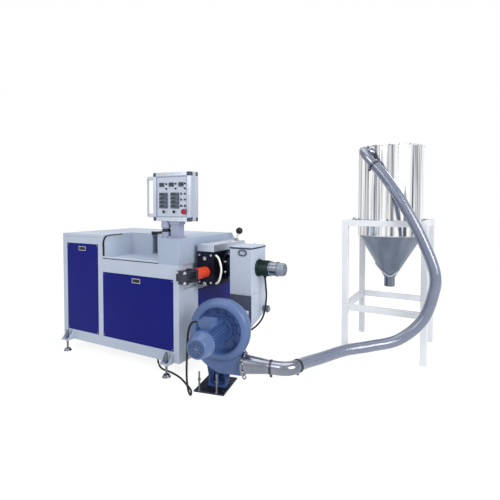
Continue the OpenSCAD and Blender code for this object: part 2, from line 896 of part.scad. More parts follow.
module blower_stand() {
    low = plate_t - blower_z;
    top = low + foot_t;
    front = web_y - web_t;
    web = [
        [stand_left, top], [stand_right, top],
        [stand_right + flare, -web_high], [stand_left - flare, -web_high]
    ];
    hole = [[0, gusset_h/6], [hole_w, gusset_h/6], [hole_w/2, 1.1*gusset_h]];
    color(enamel) at_blower() difference() {
        union() {
            block([stand_left, stand_front, low], [stand_right, stand_back, top]);
            prism_y(front, web_y) difference() {
                polygon(web);
                for (x = [stand_left + web_t, stand_right - web_t - hole_w])
                    translate([x, top]) polygon(hole);
            }
            block([stand_left + pad_t, web_y, top], [stand_right - pad_t, scroll_back, -web_high]);
            for (x = [stand_left, (stand_left + stand_right - web_t/2)/2, stand_right - web_t/2])
                prism_x(x, x + web_t/2, [[stand_front, top], [front, top], [front, top + gusset_h]]);
        }
        prism_y(scroll_y, scroll_back + 1) polygon(scroll_outline);
        rod_y(scroll_y, scroll_y + rim_d + touch, 0, 0, ring_r + touch, ring_r + touch);
    }
}

module blower_plate() {
    color(dark) at_blower() translate([plate_x, plate_y, -blower_z]) difference() {
        translate([-plate_w/2, -plate_l/2, 0]) cube([plate_w, plate_l, plate_t]);
        for (x = [-1, 1], y = [-1, 1])
            translate([x*hole_pitch/2, y*hole_pitch/2, -1]) cylinder(h = plate_t + 2, r = hole_r);
    }
}

module blower_studs() {
    color(steel) at_blower() for (x = stud_xs) translate([x, stud_y, plate_t - blower_z]) {
        cylinder(h = stud_l, r = stud_r);
        for (z = [0, 0.55*stud_l]) translate([0, 0, z]) cylinder(h = nut_h, r = 1.8*stud_r, $fn = 6);
    }
}

module outlet_pipe() {
    r = run_d/2;
    run_end = elbow_x + elbow_run;
    eye_z = outlet_h/2 + flange_rim + eye_r;
    color(steel) at_blower() translate([0, outlet_y, outlet_z]) {
        rod_x(outlet_x, cone_x, 0, 0, outlet_h/2 + flange_rim, outlet_h/2 + flange_rim);
        rod_x(cone_x, elbow_x, 0, 0, outlet_h/2, r);
        rod_x(elbow_x, run_end, 0, 0, r, r);
        translate([run_end, elbow_bend, 0]) rotate([0, 0, -90])
            rotate_extrude(angle = elbow_angle) translate([elbow_bend, 0]) circle(r = r);
        for (z = [-eye_z, eye_z]) translate([outlet_x + outlet_flange_t/2, 0, z]) rotate([90, 0, 0])
            rotate_extrude() translate([eye_r, 0]) circle(r = eye_wire, $fn = 24);
    }
}

module clamp_ring(r) {
    rotate_extrude() translate([r + touch, -clamp_w/2]) square([clamp_t, clamp_w]);
    translate([r + clamp_t/2, -clamp_ear/3, -clamp_w/2]) cube([clamp_ear, 2*clamp_ear/3, clamp_w]);
}

// A clamp on the hose, a little way in from one of its ends.
module hose_end_clamp(end, next) {
    translate(end + clamp_in*unit(next - end)) turn_to(next - end) clamp_ring(hose_d/2);
}

module hose_clamps() {
    last = len(hose_route) - 1;
    color(steel) {
        at_blower() translate([elbow_x + clamp_w, outlet_y, outlet_z]) rotate([0, 90, 0]) clamp_ring(run_d/2);
        place() hose_end_clamp(hose_route[0], hose_route[1]);
        place() hose_end_clamp(hose_route[last], hose_route[last - 1]);
    }
}

// Turns +Z to point along a direction.
module turn_to(v) { rotate([0, acos(v.z/norm(v)), atan2(v.y, v.x)]) children(); }

// Each gland sits where its cable's route begins or ends.
module cable_glands() {
    end = cutter_cable_route[8];
    color(black) place() {
        translate(blower_cable_route[0]) cylinder(h = gland_l, r = gland_r);
        translate(cutter_cable_route[0]) cylinder(h = gland_l - 1, r = gland_r);
        rod_x(-panel_set, end.x, end.y, end.z, gland_r, gland_r);
    }
}

module silo_shell() {
    r = silo_d/2;
    color(steel) at_silo() difference() {
        union() {
            translate([0, 0, cone_top]) cylinder(h = silo_top - cone_top, r = r);
            translate([0, 0, silo_top - rim_r])
                rotate_extrude() translate([r, 0]) circle(r = rim_r, $fn = 24);
            for (a = [0:90:270]) rotate([0, 0, a])
                block([0, -lug_w/2, stand_h], [leg_pitch/2 + leg/4, lug_w/2, stand_h + lug_t]);
        }
        translate([0, 0, cone_top - 1]) cylinder(h = silo_top - cone_top + 2, r = r - silo_t);
    }
}

module silo_cone() {
    color([0.5, 0.54, 0.6]) at_silo() rotate_extrude() polygon([
        [silo_d/2, cone_top], [silo_d/2 - silo_t, cone_top],
        [spigot_d/2 - silo_t, cone_low], [spigot_d/2, cone_low]
    ]);
}

module silo_outlet() {
    color(steel) at_silo() translate([0, 0, cone_low - spigot_l]) difference() {
        cylinder(h = spigot_l, d = spigot_d);
        translate([0, 0, -1]) cylinder(h = spigot_l + 2, d = spigot_d - 2*silo_t);
    }
}

module silo_inlet() {
    color(steel) difference() {
        place() sweep(curve(inlet_route, 4), pipe_d, 16);
        at_silo() translate([0, 0, cone_top]) cylinder(h = silo_top - cone_top, d = silo_d + 2*touch);
    }
}

module silo_stand() {
    side = leg_pitch/2;
    clear = side - leg/2 - touch;
    color([0.9, 0.91, 0.92]) at_silo() {
        for (x = [-side, side], y = [-side, side])
            block([x - leg/2, y - leg/2, 0], [x + leg/2, y + leg/2, stand_h]);
        for (a = [0:90:270], z = [low_rail_z - leg/2, stand_h - leg]) rotate([0, 0, a])
            block([side - leg/2, -clear, z], [side + leg/2, clear, z + leg]);
    }
}

module conveying_hose() { color([0.7, 0.72, 0.78]) place() sweep(curve(hose_route, 3), hose_d, 12); }

module blower_cable() { color(black) place() sweep(curve(blower_cable_route, 3), cable_d, 8); }

module cutter_cable() { color(black) place() sweep(curve(cutter_cable_route, 4), cable_d, 8); }

frame_posts();
frame_rails();
drive_panel();
barrel_panel();
plain_panels();
die_end_panel();
die_end_plates();
front_fascia();
drive_cover();
rear_cover();
feed_tray();
feed_throat();
die_end_housing();
cable_duct();
panel_pulls();
foot_brackets();
levelling_feet();
control_column();
control_box();
control_box_corners();
control_handle();
control_face();
control_instruments();
emergency_stop();
screen_changer();
changer_cover();
screen_ram();
ram_caps();
clamp_lever();
die_head();
heater_sleeve();
cutter_hood();
hood_lid();
hood_latch();
pellet_chute();
air_stub();
cutter_motor();
suction_duct();
blower_casing();
blower_motor();
fan_cover();
terminal_box();
blower_stand();
blower_plate();
blower_studs();
outlet_pipe();
hose_clamps();
cable_glands();
silo_shell();
silo_cone();
silo_outlet();
silo_inlet();
silo_stand();
conveying_hose();
blower_cable();
cutter_cable();
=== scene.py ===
# %% [markdown]
# # Plastic pelletizing machine
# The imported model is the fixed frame: every solid already stands at its real place and size. This
# lesson dresses it. Each step says what a piece is on the real machine and why it is made that way.

# %% Load the frame
import math
import bmesh
import bpy
from mathutils import Matrix, Vector


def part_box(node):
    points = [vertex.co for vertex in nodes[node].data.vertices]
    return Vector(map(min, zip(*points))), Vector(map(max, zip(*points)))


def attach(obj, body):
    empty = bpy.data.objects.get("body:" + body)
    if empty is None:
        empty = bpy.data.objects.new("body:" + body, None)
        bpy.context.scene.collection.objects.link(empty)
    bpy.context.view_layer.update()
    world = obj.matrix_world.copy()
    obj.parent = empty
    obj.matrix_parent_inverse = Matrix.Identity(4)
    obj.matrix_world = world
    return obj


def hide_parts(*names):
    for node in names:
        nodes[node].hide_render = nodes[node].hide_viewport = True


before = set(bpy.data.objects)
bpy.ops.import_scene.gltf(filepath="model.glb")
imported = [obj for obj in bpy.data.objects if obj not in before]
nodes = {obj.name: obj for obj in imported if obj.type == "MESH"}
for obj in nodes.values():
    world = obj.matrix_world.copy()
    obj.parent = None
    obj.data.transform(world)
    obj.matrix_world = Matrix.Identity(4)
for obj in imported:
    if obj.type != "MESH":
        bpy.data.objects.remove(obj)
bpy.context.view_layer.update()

# %% [markdown]
# Places are read from the cabinet's right front corner on the floor, in millimetres, because a fitter
# measures the machine from there. The corner itself comes from the frame's posts, so nothing is fitted
# by eye.

# %% Places measured from the cabinet's corner
post_low, post_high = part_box("frame_posts")
corner = Vector((post_high[0], post_low[1], 0.0))


def mm(x, y, z):
    return Vector((x, y, z)) / 1000


def at(x, y, z):
    return corner + mm(x, y, z)


print("corner:", corner)

# %% [markdown]
# A colour is written as it is seen on a screen, in sRGB. Shaders add light, so they need linear values.
# One function adds any node with its settings and links, so a material reads as a short list of nodes.

# %% Colour and node helpers
# A colour mix has its sockets under these numbers.
mix_share, mix_low, mix_high, mix_out = 0, 6, 7, 2


def linear(hex_code):
    parts = [int(hex_code[i:i + 2], 16) / 255 for i in (1, 3, 5)]
    return tuple(c / 12.92 if c <= 0.04045 else ((c + 0.055) / 1.055) ** 2.4 for c in parts) + (1.0,)


def add(tree, kind, inputs=None, **settings):
    node = tree.nodes.new(kind)
    for name, value in settings.items():
        setattr(node, name, value)
    for name, value in (inputs or {}).items():
        socket = node.inputs[name]
        if isinstance(value, tuple) and isinstance(value[0], bpy.types.Node):
            tree.links.new(value[0].outputs[value[1]], socket)
        else:
            socket.default_value = value
    return node


def new_material(name):
    material = bpy.data.materials.new(name)
    material.use_nodes = True
    tree = material.node_tree
    tree.nodes.clear()
    return material, tree


def per_mm(size):
    # Noise repeats about once for each unit of scale per metre.
    return 1000 / size


print("mid grey in linear light:", round(linear("#808080")[0], 3))

# %% [markdown]
# Sheet-metal covers and cast housings are coated with paint. Baked powder has a faint orange peel of a
# few millimetres, and handling leaves slow changes of gloss. One flat colour would look like a drawing.
# Two noises give both: a slow one for colour and gloss, a fine one for the bump.

# %% Paint
relief_depth = 0.001
edge_radius, highlight_strength = 0.004, 0.7
edge_start, edge_full = 0.985, 0.85


def painted_edge_highlight(tree, colour, painted_highlight):
    # Painted highlight: a paler line along each edge stands for the light a rounded edge catches.
    soft = add(tree, "ShaderNodeBevel", {"Radius": edge_radius}, samples=4)
    plain = add(tree, "ShaderNodeNewGeometry")
    normals = {0: (soft, "Normal"), 1: (plain, "Normal")}
    turn = add(tree, "ShaderNodeVectorMath", normals, operation="DOT_PRODUCT")
    highlight_share = add(tree, "ShaderNodeMapRange", {"Value": (turn, "Value"), "From Min": edge_start,
                                            "From Max": edge_full, "To Max": highlight_strength})
    shares = {mix_share: (highlight_share, "Result"), mix_low: (colour, mix_out), mix_high: linear(painted_highlight)}
    return add(tree, "ShaderNodeMix", shares, data_type="RGBA")


def paint(name, main, shade, roughness, peel_mm=5, drift_mm=420, bump=0.08, coat=0.0, shine=0.25,
          painted_highlight=None):
    material, tree = new_material(name)
    place = add(tree, "ShaderNodeTexCoord")
    drift = add(tree, "ShaderNodeTexNoise", {"Vector": (place, "Object"), "Scale": per_mm(drift_mm),
                                             "Detail": 4.0})
    shares = {mix_share: (drift, "Fac"), mix_low: linear(main), mix_high: linear(shade)}
    colour = add(tree, "ShaderNodeMix", shares, data_type="RGBA")
    if painted_highlight:
        colour = painted_edge_highlight(tree, colour, painted_highlight)
    gloss = add(tree, "ShaderNodeMapRange", {"Value": (drift, "Fac"), "To Min": roughness - 0.06,
                                             "To Max": roughness + 0.08})
    peel = add(tree, "ShaderNodeTexNoise", {"Vector": (place, "Object"), "Scale": per_mm(peel_mm),
                                            "Detail": 2.0})
    relief = add(tree, "ShaderNodeBump", {"Height": (peel, "Fac"), "Strength": bump,
                                          "Distance": relief_depth})
    shader = add(tree, "ShaderNodeBsdfPrincipled", {
        "Base Color": (colour, mix_out), "Roughness": (gloss, "Result"), "Normal": (relief, "Normal"),
        "Coat Weight": coat, "Specular IOR Level": shine})
    add(tree, "ShaderNodeOutputMaterial", {"Surface": (shader, "BSDF")})
    return material


# The paler edge line is a painted highlight.
print("paler line on worn edges:", edge_radius * 1000, "mm")

# %% [markdown]
# Every coat of the machine is a mix of a main colour and a shade of it. The covers are powder coated,
# the castings and stands are brushed or sprayed, so they differ in gloss and in the size of the ripple.

# %% Painted steel and iron
# Baked powder gives an even satin grey, with a painted highlight along folded edges.
frame_paint = paint("powder_coated_steel_grey", "#BAC5D5", "#AAB6C8", 0.42, painted_highlight="#DDE4EE")
# Painted shade: the die-end housing takes the cabinet's powder a shade deeper.
# Its edges carry a painted highlight.
housing_painted_shade = paint("powder_coated_steel_grey_painted_shade", "#A6B3C8", "#98A6BC", 0.42, painted_highlight="#CDD6E4")
# Deep navy powder looks nearly flat, with a soft sheen only where a lamp stands.
# Its edges carry a painted highlight.
panel_paint = paint("powder_coated_steel_navy", "#0F1878", "#0C1468", 0.4, shine=0.1, painted_highlight="#3A449C")
# Enamel brushed over a sand casting gives round highlights with a slow ripple.
blower_paint = paint("cast_iron_blue_enamel", "#576E9A", "#465C87", 0.34, peel_mm=14, bump=0.2,
                     shine=0.4)
# Primer in the recess is duller than enamel, so the recess reads as deep.
recess_paint = paint("cast_iron_dark_blue_primer", "#5672AA", "#466196", 0.5, peel_mm=14, bump=0.3)
# Enamel reaches thinly between the motor's fins, so they look darker than the ring.
# Painted shade: the motor behind the recess takes the casting's blue painted darker.
motor_blue_painted_shade = paint("cast_iron_blue_enamel_painted_shade", "#465F94", "#395081", 0.42, peel_mm=14, bump=0.25)
# Painted shade under the blower: the welded foot's enamel is the deepest and dullest blue.
stand_painted_shade = paint("welded_steel_blue_enamel_painted_shade", "#3A5084", "#2E4270", 0.48, peel_mm=14, bump=0.25)
# Painted shade: a flat dark grey without highlights stands for the chute's shadowed front.
chute_painted_shade = paint("dark_grey_painted_shade", "#4A5064", "#3C4254", 0.5, peel_mm=6, bump=0.1)
# Flake in the enamel keeps a soft highlight on a plain grey.
silver_enamel = paint("silver_grey_enamel", "#7E8897", "#6E7887", 0.35, peel_mm=8, shine=0.5)
# The column's powder has more violet than the cabinet's and the same satin.
column_paint = paint("powder_coated_steel_lavender", "#9BA2BA", "#8D95AE", 0.42)
# Sprayed motor enamel looks nearly black, with a green line of light along each fin.
motor_green = paint("green_motor_enamel", "#12342F", "#0B2622", 0.35, peel_mm=9, bump=0.15,
                    shine=0.4)
# Brushed signal enamel is a strong orange red with one broad highlight.
ram_paint = paint("orange_red_enamel", "#D84C30", "#B93620", 0.35, peel_mm=8)
# White enamel on box section turns grey only in its own shade.
# Its edges carry a painted highlight.
white_paint = paint("white_stand_enamel", "#E0E3E8", "#D3D7DE", 0.4, painted_highlight="#F2F4F6")
print("paints:", len(bpy.data.materials))

# %% [markdown]
# Plastic, rubber and fibre take their surface from a mould, a die or a braid. They have no coat, but the
# same two noises suit them: the fine one draws the grain and the slow one the tone.

# %% Plastics, rubber, fibre and dust
# An eroded mould prints a fine matt grain, so the black stays soft.
# The real grain of moulded plastic is near 0.1 mm. It is drawn at 2 mm, or no picture could show it.
black_plastic = paint("black_moulded_abs", "#1B1C20", "#25262B", 0.5, peel_mm=2, bump=0.15)
# A polished mould gives the stop button a clean round highlight.
red_plastic = paint("red_moulded_abs", "#A3283F", "#8A1F36", 0.3, peel_mm=2)
# The corners and bezels share the matt grain in a middle grey.
grey_plastic = paint("grey_moulded_abs", "#4A5163", "#3E4454", 0.5, peel_mm=2, bump=0.15)
# Cut foam has no highlight, so the seal is one even line.
seal_grey = paint("mid_grey_foam_seal", "#98A1B2", "#8790A2", 0.7, peel_mm=2, bump=0.3)
# Moulded rubber is dull, so the keys stand off the glossy window.
key_grey = paint("grey_rubber_keys", "#6C7688", "#5F697A", 0.6, peel_mm=2, bump=0.1)
# A film of plastic dust takes the mirror off the sheet.
dusty_steel = paint("steel_under_pellet_dust", "#9BA1AB", "#848B97", 0.6, peel_mm=12, drift_mm=260,
                    bump=0.2)
# Pale plastic keeps the same matt grain and lets more light back.
pale_plastic = paint("pale_grey_moulded_abs", "#C4C9D2", "#B4BAC5", 0.5, peel_mm=2, bump=0.15)
# An extruded rubber jacket is black with a thin, broken line of light.
cable_rubber = paint("black_cable_rubber", "#141416", "#1D1D20", 0.55, peel_mm=3, bump=0.2)
# Gasket rubber is dull and slightly blue beside the painted hood.
gasket_rubber = paint("dark_gasket_rubber", "#2A3350", "#1E2540", 0.6, peel_mm=3, bump=0.25)
# Braided glass fibre scatters light, so the sleeve is white without shine.
glass_fibre = paint("glass_fibre_sleeve", "#F0F0EC", "#DAD9D2", 0.75, peel_mm=4, bump=0.5)
print("paints and plastics:", len(bpy.data.materials))

# %% [markdown]
# Bare metal shows how it was worked. Rolled stainless sheet and drawn bar carry fine lines along one
# direction, so the noise is squeezed across the lines and stretched along them.

# %% Bare metal


def metal(name, light, dark, roughness, line_mm=(3, 3, 3), contrast=0.5, bump=0.05, middle=0.5):
    material, tree = new_material(name)
    place = add(tree, "ShaderNodeTexCoord")
    squeeze = add(tree, "ShaderNodeMapping", {"Vector": (place, "Object"),
                                              "Scale": tuple(per_mm(size) for size in line_mm)})
    lines = add(tree, "ShaderNodeTexNoise", {"Vector": (squeeze, "Vector"), "Scale": 1.0, "Detail": 6.0,
                                             "Roughness": 0.6})
    spread = add(tree, "ShaderNodeMapRange", {
        "Value": (lines, "Fac"), "From Min": middle - contrast / 2, "From Max": middle + contrast / 2})
    shares = {mix_share: (spread, "Result"), mix_low: linear(dark), mix_high: linear(light)}
    colour = add(tree, "ShaderNodeMix", shares, data_type="RGBA")
    gloss = add(tree, "ShaderNodeMapRange", {"Value": (lines, "Fac"), "To Min": roughness + 0.1,
                                             "To Max": max(roughness - 0.1, 0.05)})
    relief = add(tree, "ShaderNodeBump", {"Height": (lines, "Fac"), "Strength": bump,
                                          "Distance": relief_depth})
    shader = add(tree, "ShaderNodeBsdfPrincipled", {
        "Base Color": (colour, mix_out), "Roughness": (gloss, "Result"), "Normal": (relief, "Normal"),
        "Metallic": 1.0})
    add(tree, "ShaderNodeOutputMaterial", {"Surface": (shader, "BSDF")})
    return material


print("lines of 3 mm:", round(per_mm(3)), "to a metre")

# %% [markdown]
# Each bare metal of the machine is named for its alloy and its last treatment, because that decides how
# it mirrors light. Two greys and a line size tell one from the next.

# %% Steel, zinc and aluminium
# Real grinding lines lie about 0.2 mm apart, too fine for a picture. They are drawn 3 to 4 mm apart.
# Ground and oiled blocks look dark, with a broad weak highlight.
tool_steel = metal("oiled_tool_steel", "#30323F", "#17182A", 0.42, (30, 30, 30), 0.6)
# Mill scale leaves blotches of lighter and darker grey.
plate_steel = metal("hot_rolled_steel_plate", "#4C4E5A", "#363841", 0.5, (60, 60, 60), 0.6, 0.1)
# Bright zinc puts a small spark of light on each screw head.
zinc_steel = metal("zinc_plated_steel", "#CDD0D6", "#9FA3AB", 0.28, (12, 12, 12), 0.7)
# Ground bar draws its highlight out along the bar.
bright_steel = metal("ground_steel_bar", "#C3C7CF", "#989CA5", 0.3, (4, 60, 4), 0.7)
# Anodising leaves a pale satin without mirror images.
aluminium = metal("anodised_aluminium", "#CDD2DC", "#B9BFCB", 0.4, (60, 60, 3), 0.6)
# The extrusion die leaves faint lines and a satin glow.
profile_bar = metal("extruded_aluminium_profile", "#CCD3DF", "#BCC4D2", 0.45, (60, 60, 3), 0.6)
# The brushed and printed face looks flat grey with faint upright lines.
face_sheet = metal("printed_aluminium_face", "#C2CAD8", "#B4BDCD", 0.45, (3, 3, 80), 0.5)
# Mirror-rolled sheet shows upright light and dark bands. In a workshop they are mirrored surroundings.
# This white studio has nothing dark to mirror, so the bands are drawn in the steel's colour.
stainless = metal("polished_stainless_sheet", "#F8F9FB", "#4E535E", 0.12, (24, 24, 2600), 0.2,
                  middle=0.47)
# The rolled cone keeps a satin finish, so its light falls off smoothly to the sides.
cone_steel = metal("satin_stainless_cone", "#8C95A4", "#566070", 0.34, (180, 180, 900), 0.6)
# Polished tube carries sharp bright lines along its bends.
pipe_steel = metal("polished_stainless_pipe", "#8E929E", "#6B6F7B", 0.17, (160, 160, 160), 0.6, 0.02)
# Dull zinc on the feet is a plain grey with soft light.
clamp_steel = metal("zinc_clamp_strip", "#7E828B", "#5B5F68", 0.35, (20, 20, 20), 0.6)
# Blackened bands read as dark rings round the pipe.
band_steel = metal("blackened_clamp_band", "#50525B", "#383A42", 0.35, (20, 20, 20), 0.6)
print("materials:", len(bpy.data.materials))

# %% [markdown]
# The delivery hose is clear PVC with a steel spiral in its wall. Light passes through the wall and the
# wire stays visible. The wire could be a second tube inside the first, but a value stored on the tube is
# enough to colour the ridge of the spiral. The instruments' windows are smoked acrylic.

# %% Clear hose and display glass
haze_mm, wire_cover = 160, 0.4
# Extruded soft PVC is glossy: sharp lines of light lie on a grey, half-clear wall.
pvc_hose, tree = new_material("clear_pvc_hose_with_steel_spiral")
wire = add(tree, "ShaderNodeAttribute", attribute_name="wire")
place = add(tree, "ShaderNodeTexCoord")
haze = add(tree, "ShaderNodeTexNoise", {"Vector": (place, "Object"), "Scale": per_mm(haze_mm),
                                        "Detail": 3.0})
shares = {mix_share: (haze, "Fac"), mix_low: linear("#7C859D"), mix_high: linear("#626C85")}
clear = add(tree, "ShaderNodeMix", shares, data_type="RGBA")
coil = add(tree, "ShaderNodeMath", {0: (wire, "Fac"), 1: wire_cover}, operation="MULTIPLY")
shares = {mix_share: (coil, "Value"), mix_low: (clear, mix_out), mix_high: linear("#49516A")}
wall = add(tree, "ShaderNodeMix", shares, data_type="RGBA")
shader = add(tree, "ShaderNodeBsdfPrincipled", {
    "Base Color": (wall, mix_out), "Roughness": 0.09, "IOR": 1.53, "Transmission Weight": 0.3,
    "Coat Weight": 1.0})
add(tree, "ShaderNodeOutputMaterial", {"Surface": (shader, "BSDF")})

# A smoked acrylic window is dark with a sharp glint.
display_glass = paint("smoked_display_window", "#2B3644", "#1E2733", 0.12, peel_mm=40, bump=0.02,
                      coat=0.5)
print("all materials:", len(bpy.data.materials))

# %% [markdown]
# Small fittings are turned, sawn or swept, so three builders are enough. One turns an outline about an
# axis, one makes a block with softened edges, and a later one sweeps a ring along a line. Turning and
# sweeping share a helper that joins one ring of points to the next.

# %% Shape builders


def strip(bm, rings, ring_shaped=False):
    made = [[bm.verts.new(point) for point in ring] for ring in rings]
    pairs = list(zip(made, made[1:]))
    if ring_shaped:
        pairs.append((made[-1], made[0]))
    for low, high in pairs:
        for i in range(len(low)):
            j = (i + 1) % len(low)
            bm.faces.new((low[i], low[j], high[j], high[i]))
    if not ring_shaped:
        bm.faces.new(list(reversed(made[0])))
        bm.faces.new(made[-1])
    return made


def turned(bm, spot, outline, steps=32, ring_shaped=False):
    rings = []
    turns = [2 * math.pi * i / steps for i in range(steps)]
    for radius, height in outline:
        rings.append([spot @ mm(radius * math.cos(a), radius * math.sin(a), height) for a in turns])
    strip(bm, rings, ring_shaped)


def block(bm, spot, low, high, edge=1.5):
    low, high = Vector(low), Vector(high)
    verts = bmesh.ops.create_cube(bm, size=1.0)["verts"]
    for vert in verts:
        share = vert.co + Vector((0.5, 0.5, 0.5))
        vert.co = spot @ mm(*(a + (b - a) * s for a, b, s in zip(low, high, share)))
    # Each edge is listed once, in a fixed order.
    edges = list(dict.fromkeys(e for vert in verts for e in vert.link_edges))
    bmesh.ops.bevel(bm, geom=edges, offset=edge / 1000, segments=2, profile=0.5, affect="EDGES")


print("builders take millimetres, and one is", mm(1, 0, 0).x, "m")

# %% [markdown]
# A mesh becomes a piece of the machine once it has a name, a material and a body to ride on. Smooth
# shading with sharp edges above an angle gives round parts and crisp corners from few faces.

# %% From mesh to piece


def piece(name, bm, material, replaces=(), angle=35):
    bmesh.ops.recalc_face_normals(bm, faces=bm.faces)
    mesh = bpy.data.meshes.new(name)
    bm.to_mesh(mesh)
    bm.free()
    mesh.polygons.foreach_set("use_smooth", [True] * len(mesh.polygons))
    mesh.set_sharp_from_angle(angle=math.radians(angle))
    mesh.materials.append(material)
    thing = bpy.data.objects.new(name, mesh)
    bpy.context.scene.collection.objects.link(thing)
    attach(thing, "root")
    if replaces:
        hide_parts(*replaces)
    print(name, len(mesh.polygons), "faces")
    return thing


print("solids to dress:", len(nodes))

# %% [markdown]
# The camera stands where the photograph was taken from. Its lens, place and tilt were solved from the
# machine's own corners in the picture. A small downward shift keeps upright edges upright.

# %% Camera
camera_data = bpy.data.cameras.new("photo_camera")
camera_data.lens = 28.42
camera_data.sensor_width = 36
camera_data.shift_y = -0.0655
camera = bpy.data.objects.new("photo_camera", camera_data)
camera.location = at(2100, -2584, 1453)
camera.rotation_euler = (math.radians(88.194), 0, math.radians(28.817))
bpy.context.scene.collection.objects.link(camera)
bpy.context.scene.camera = camera
print("camera at", camera.location)

# %% [markdown]
# The hose and the two cables are free cords: they could lie another way. Each follows a smooth line
# through the points where it is held or where it rests. The line keeps the same points as the solid
# model.

# %% Cord lines


def smooth_line(points, steps):
    line = []
    for i in range(len(points) - 1):
        a, b, c, d = (Vector(points[min(max(i + k, 0), len(points) - 1)]) for k in (-1, 0, 1, 2))
        for k in range(steps):
            t = k / steps
            bend = (2 * a - 5 * b + 4 * c - d) * t * t + (3 * b - a - 3 * c + d) * t * t * t
            line.append(0.5 * (2 * b + (c - a) * t + bend))
    line.append(Vector(points[-1]))
    return [at(*point) for point in line]


def length_of(line):
    return sum((b - a).length for a, b in zip(line, line[1:]))


hose_points = [[961, 207, 208], [1000, 322, 208], [1080, 470, 210], [1210, 690, 222], [1390, 850, 240],
               [1590, 990, 285], [1765, 1080, 440], [1848, 1105, 650], [1868, 1120, 860],
               [1762, 1140, 1150], [1605, 1160, 1450], [1440, 1190, 1700], [1315, 1220, 1845]]
blower_cable_points = [[-270, 40, 96], [-265, 40, 60], [-225, 40, 16], [-110, 30, 10], [20, -15, 10],
                       [130, -80, 10], [235, -150, 10], [288, -222, 14], [296, -262, 70],
                       [300, -285, 190], [318, -300, 390], [322, -292, 520], [345, -277, 590],
                       [393, -264, 598]]
cutter_cable_points = [[590, 430, 828], [598, 430, 750], [600, 432, 640], [580, 405, 490],
                       [520, 320, 400], [400, 270, 360], [200, 290, 330], [60, 335, 320], [14, 340, 320]]
hose_line = smooth_line(hose_points, 3)
print("hose length:", round(length_of(hose_line), 3), "m")

# %% [markdown]
# A hose, a sleeve or an edging keeps its section along its line. A curve with a thickness does for a
# plain round, but some of these change their radius on the way. So a ring of points is carried along
# the line and turned with it.

# %% A ring swept along a line


def swept(bm, line, radius, sides=24):
    side, back, rings, gone = None, None, [], 0.0
    for i, point in enumerate(line):
        ahead = (line[min(i + 1, len(line) - 1)] - line[max(i - 1, 0)]).normalized()
        if side is None:
            side = ahead.orthogonal().normalized()
        else:
            side = (side - ahead * side.dot(ahead)).normalized()
            gone += (point - line[i - 1]).length
        back = ahead.cross(side)
        ring = []
        for k in range(sides):
            turn = 2 * math.pi * k / sides
            reach = radius(gone, turn) / 1000
            ring.append(point + (side * math.cos(turn) + back * math.sin(turn)) * reach)
        rings.append(ring)
    return strip(bm, rings)


def even_line(line, gap):
    out, left = [line[0]], gap
    for a, b in zip(line, line[1:]):
        span = (b - a).length
        while left <= span:
            out.append(a.lerp(b, left / span))
            left += gap
        left -= span
    out.append(line[-1])
    return out


print("points along the hose, 100 mm apart:", len(even_line(hose_line, 0.1)))

# %% [markdown]
# The hose wall bulges between the turns of its wire. A bump could draw that, but the outline would stay
# straight. Here the radius rises and falls with the distance along the hose and with the turn round it,
# which draws a helix.

# %% Delivery hose
hose_radius, wire_pitch, wire_rise = 48.6, 15, 0.8


def wire_height(gone, turn):
    return max(0.0, math.cos(2 * math.pi * gone * 1000 / wire_pitch - turn)) ** 2


bm = bmesh.new()
mark = bm.verts.layers.float.new("wire")
fine = even_line(smooth_line(hose_points, 60), 0.0036)
rings = swept(bm, fine, lambda gone, turn: hose_radius - wire_rise * (1 - wire_height(gone, turn)), 28)
gone = 0.0
for i, ring in enumerate(rings):
    gone += (fine[i] - fine[i - 1]).length if i else 0.0
    for k, vert in enumerate(ring):
        vert[mark] = wire_height(gone, 2 * math.pi * k / len(ring))
hose = piece("conveying_hose_pvc", bm, pvc_hose, ["conveying_hose"], 80)

# %% [markdown]
# A cable is a round jacket on a line, so it stays a curve with a thickness. The motor leads are black
# rubber.

# %% Cables
cable_wide = 0.016


def cable(name, points, steps, node):
    line = smooth_line(points, steps)
    curve = bpy.data.curves.new(name, "CURVE")
    curve.dimensions = "3D"
    curve.bevel_depth = cable_wide / 2
    curve.bevel_resolution = 5
    curve.use_fill_caps = True
    spline = curve.splines.new("POLY")
    spline.points.add(len(line) - 1)
    for point, spot in zip(spline.points, line):
        point.co = (*spot, 1.0)
    spline.use_smooth = True
    curve.materials.append(cable_rubber)
    thing = bpy.data.objects.new(name, curve)
    bpy.context.scene.collection.objects.link(thing)
    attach(thing, "root")
    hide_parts(node)
    print(name, round(length_of(line), 3), "m")


cable("blower_motor_cable", blower_cable_points, 3, "blower_cable")
cable("cutter_motor_cable", cutter_cable_points, 4, "cutter_cable")

# %% [markdown]
# Every solid of the frame keeps its shape. Rounded edges could be modelled, but a bevel modifier breaks
# them as a folded sheet or a dressed casting has them and leaves the solid as it is. A material gives
# its finish.

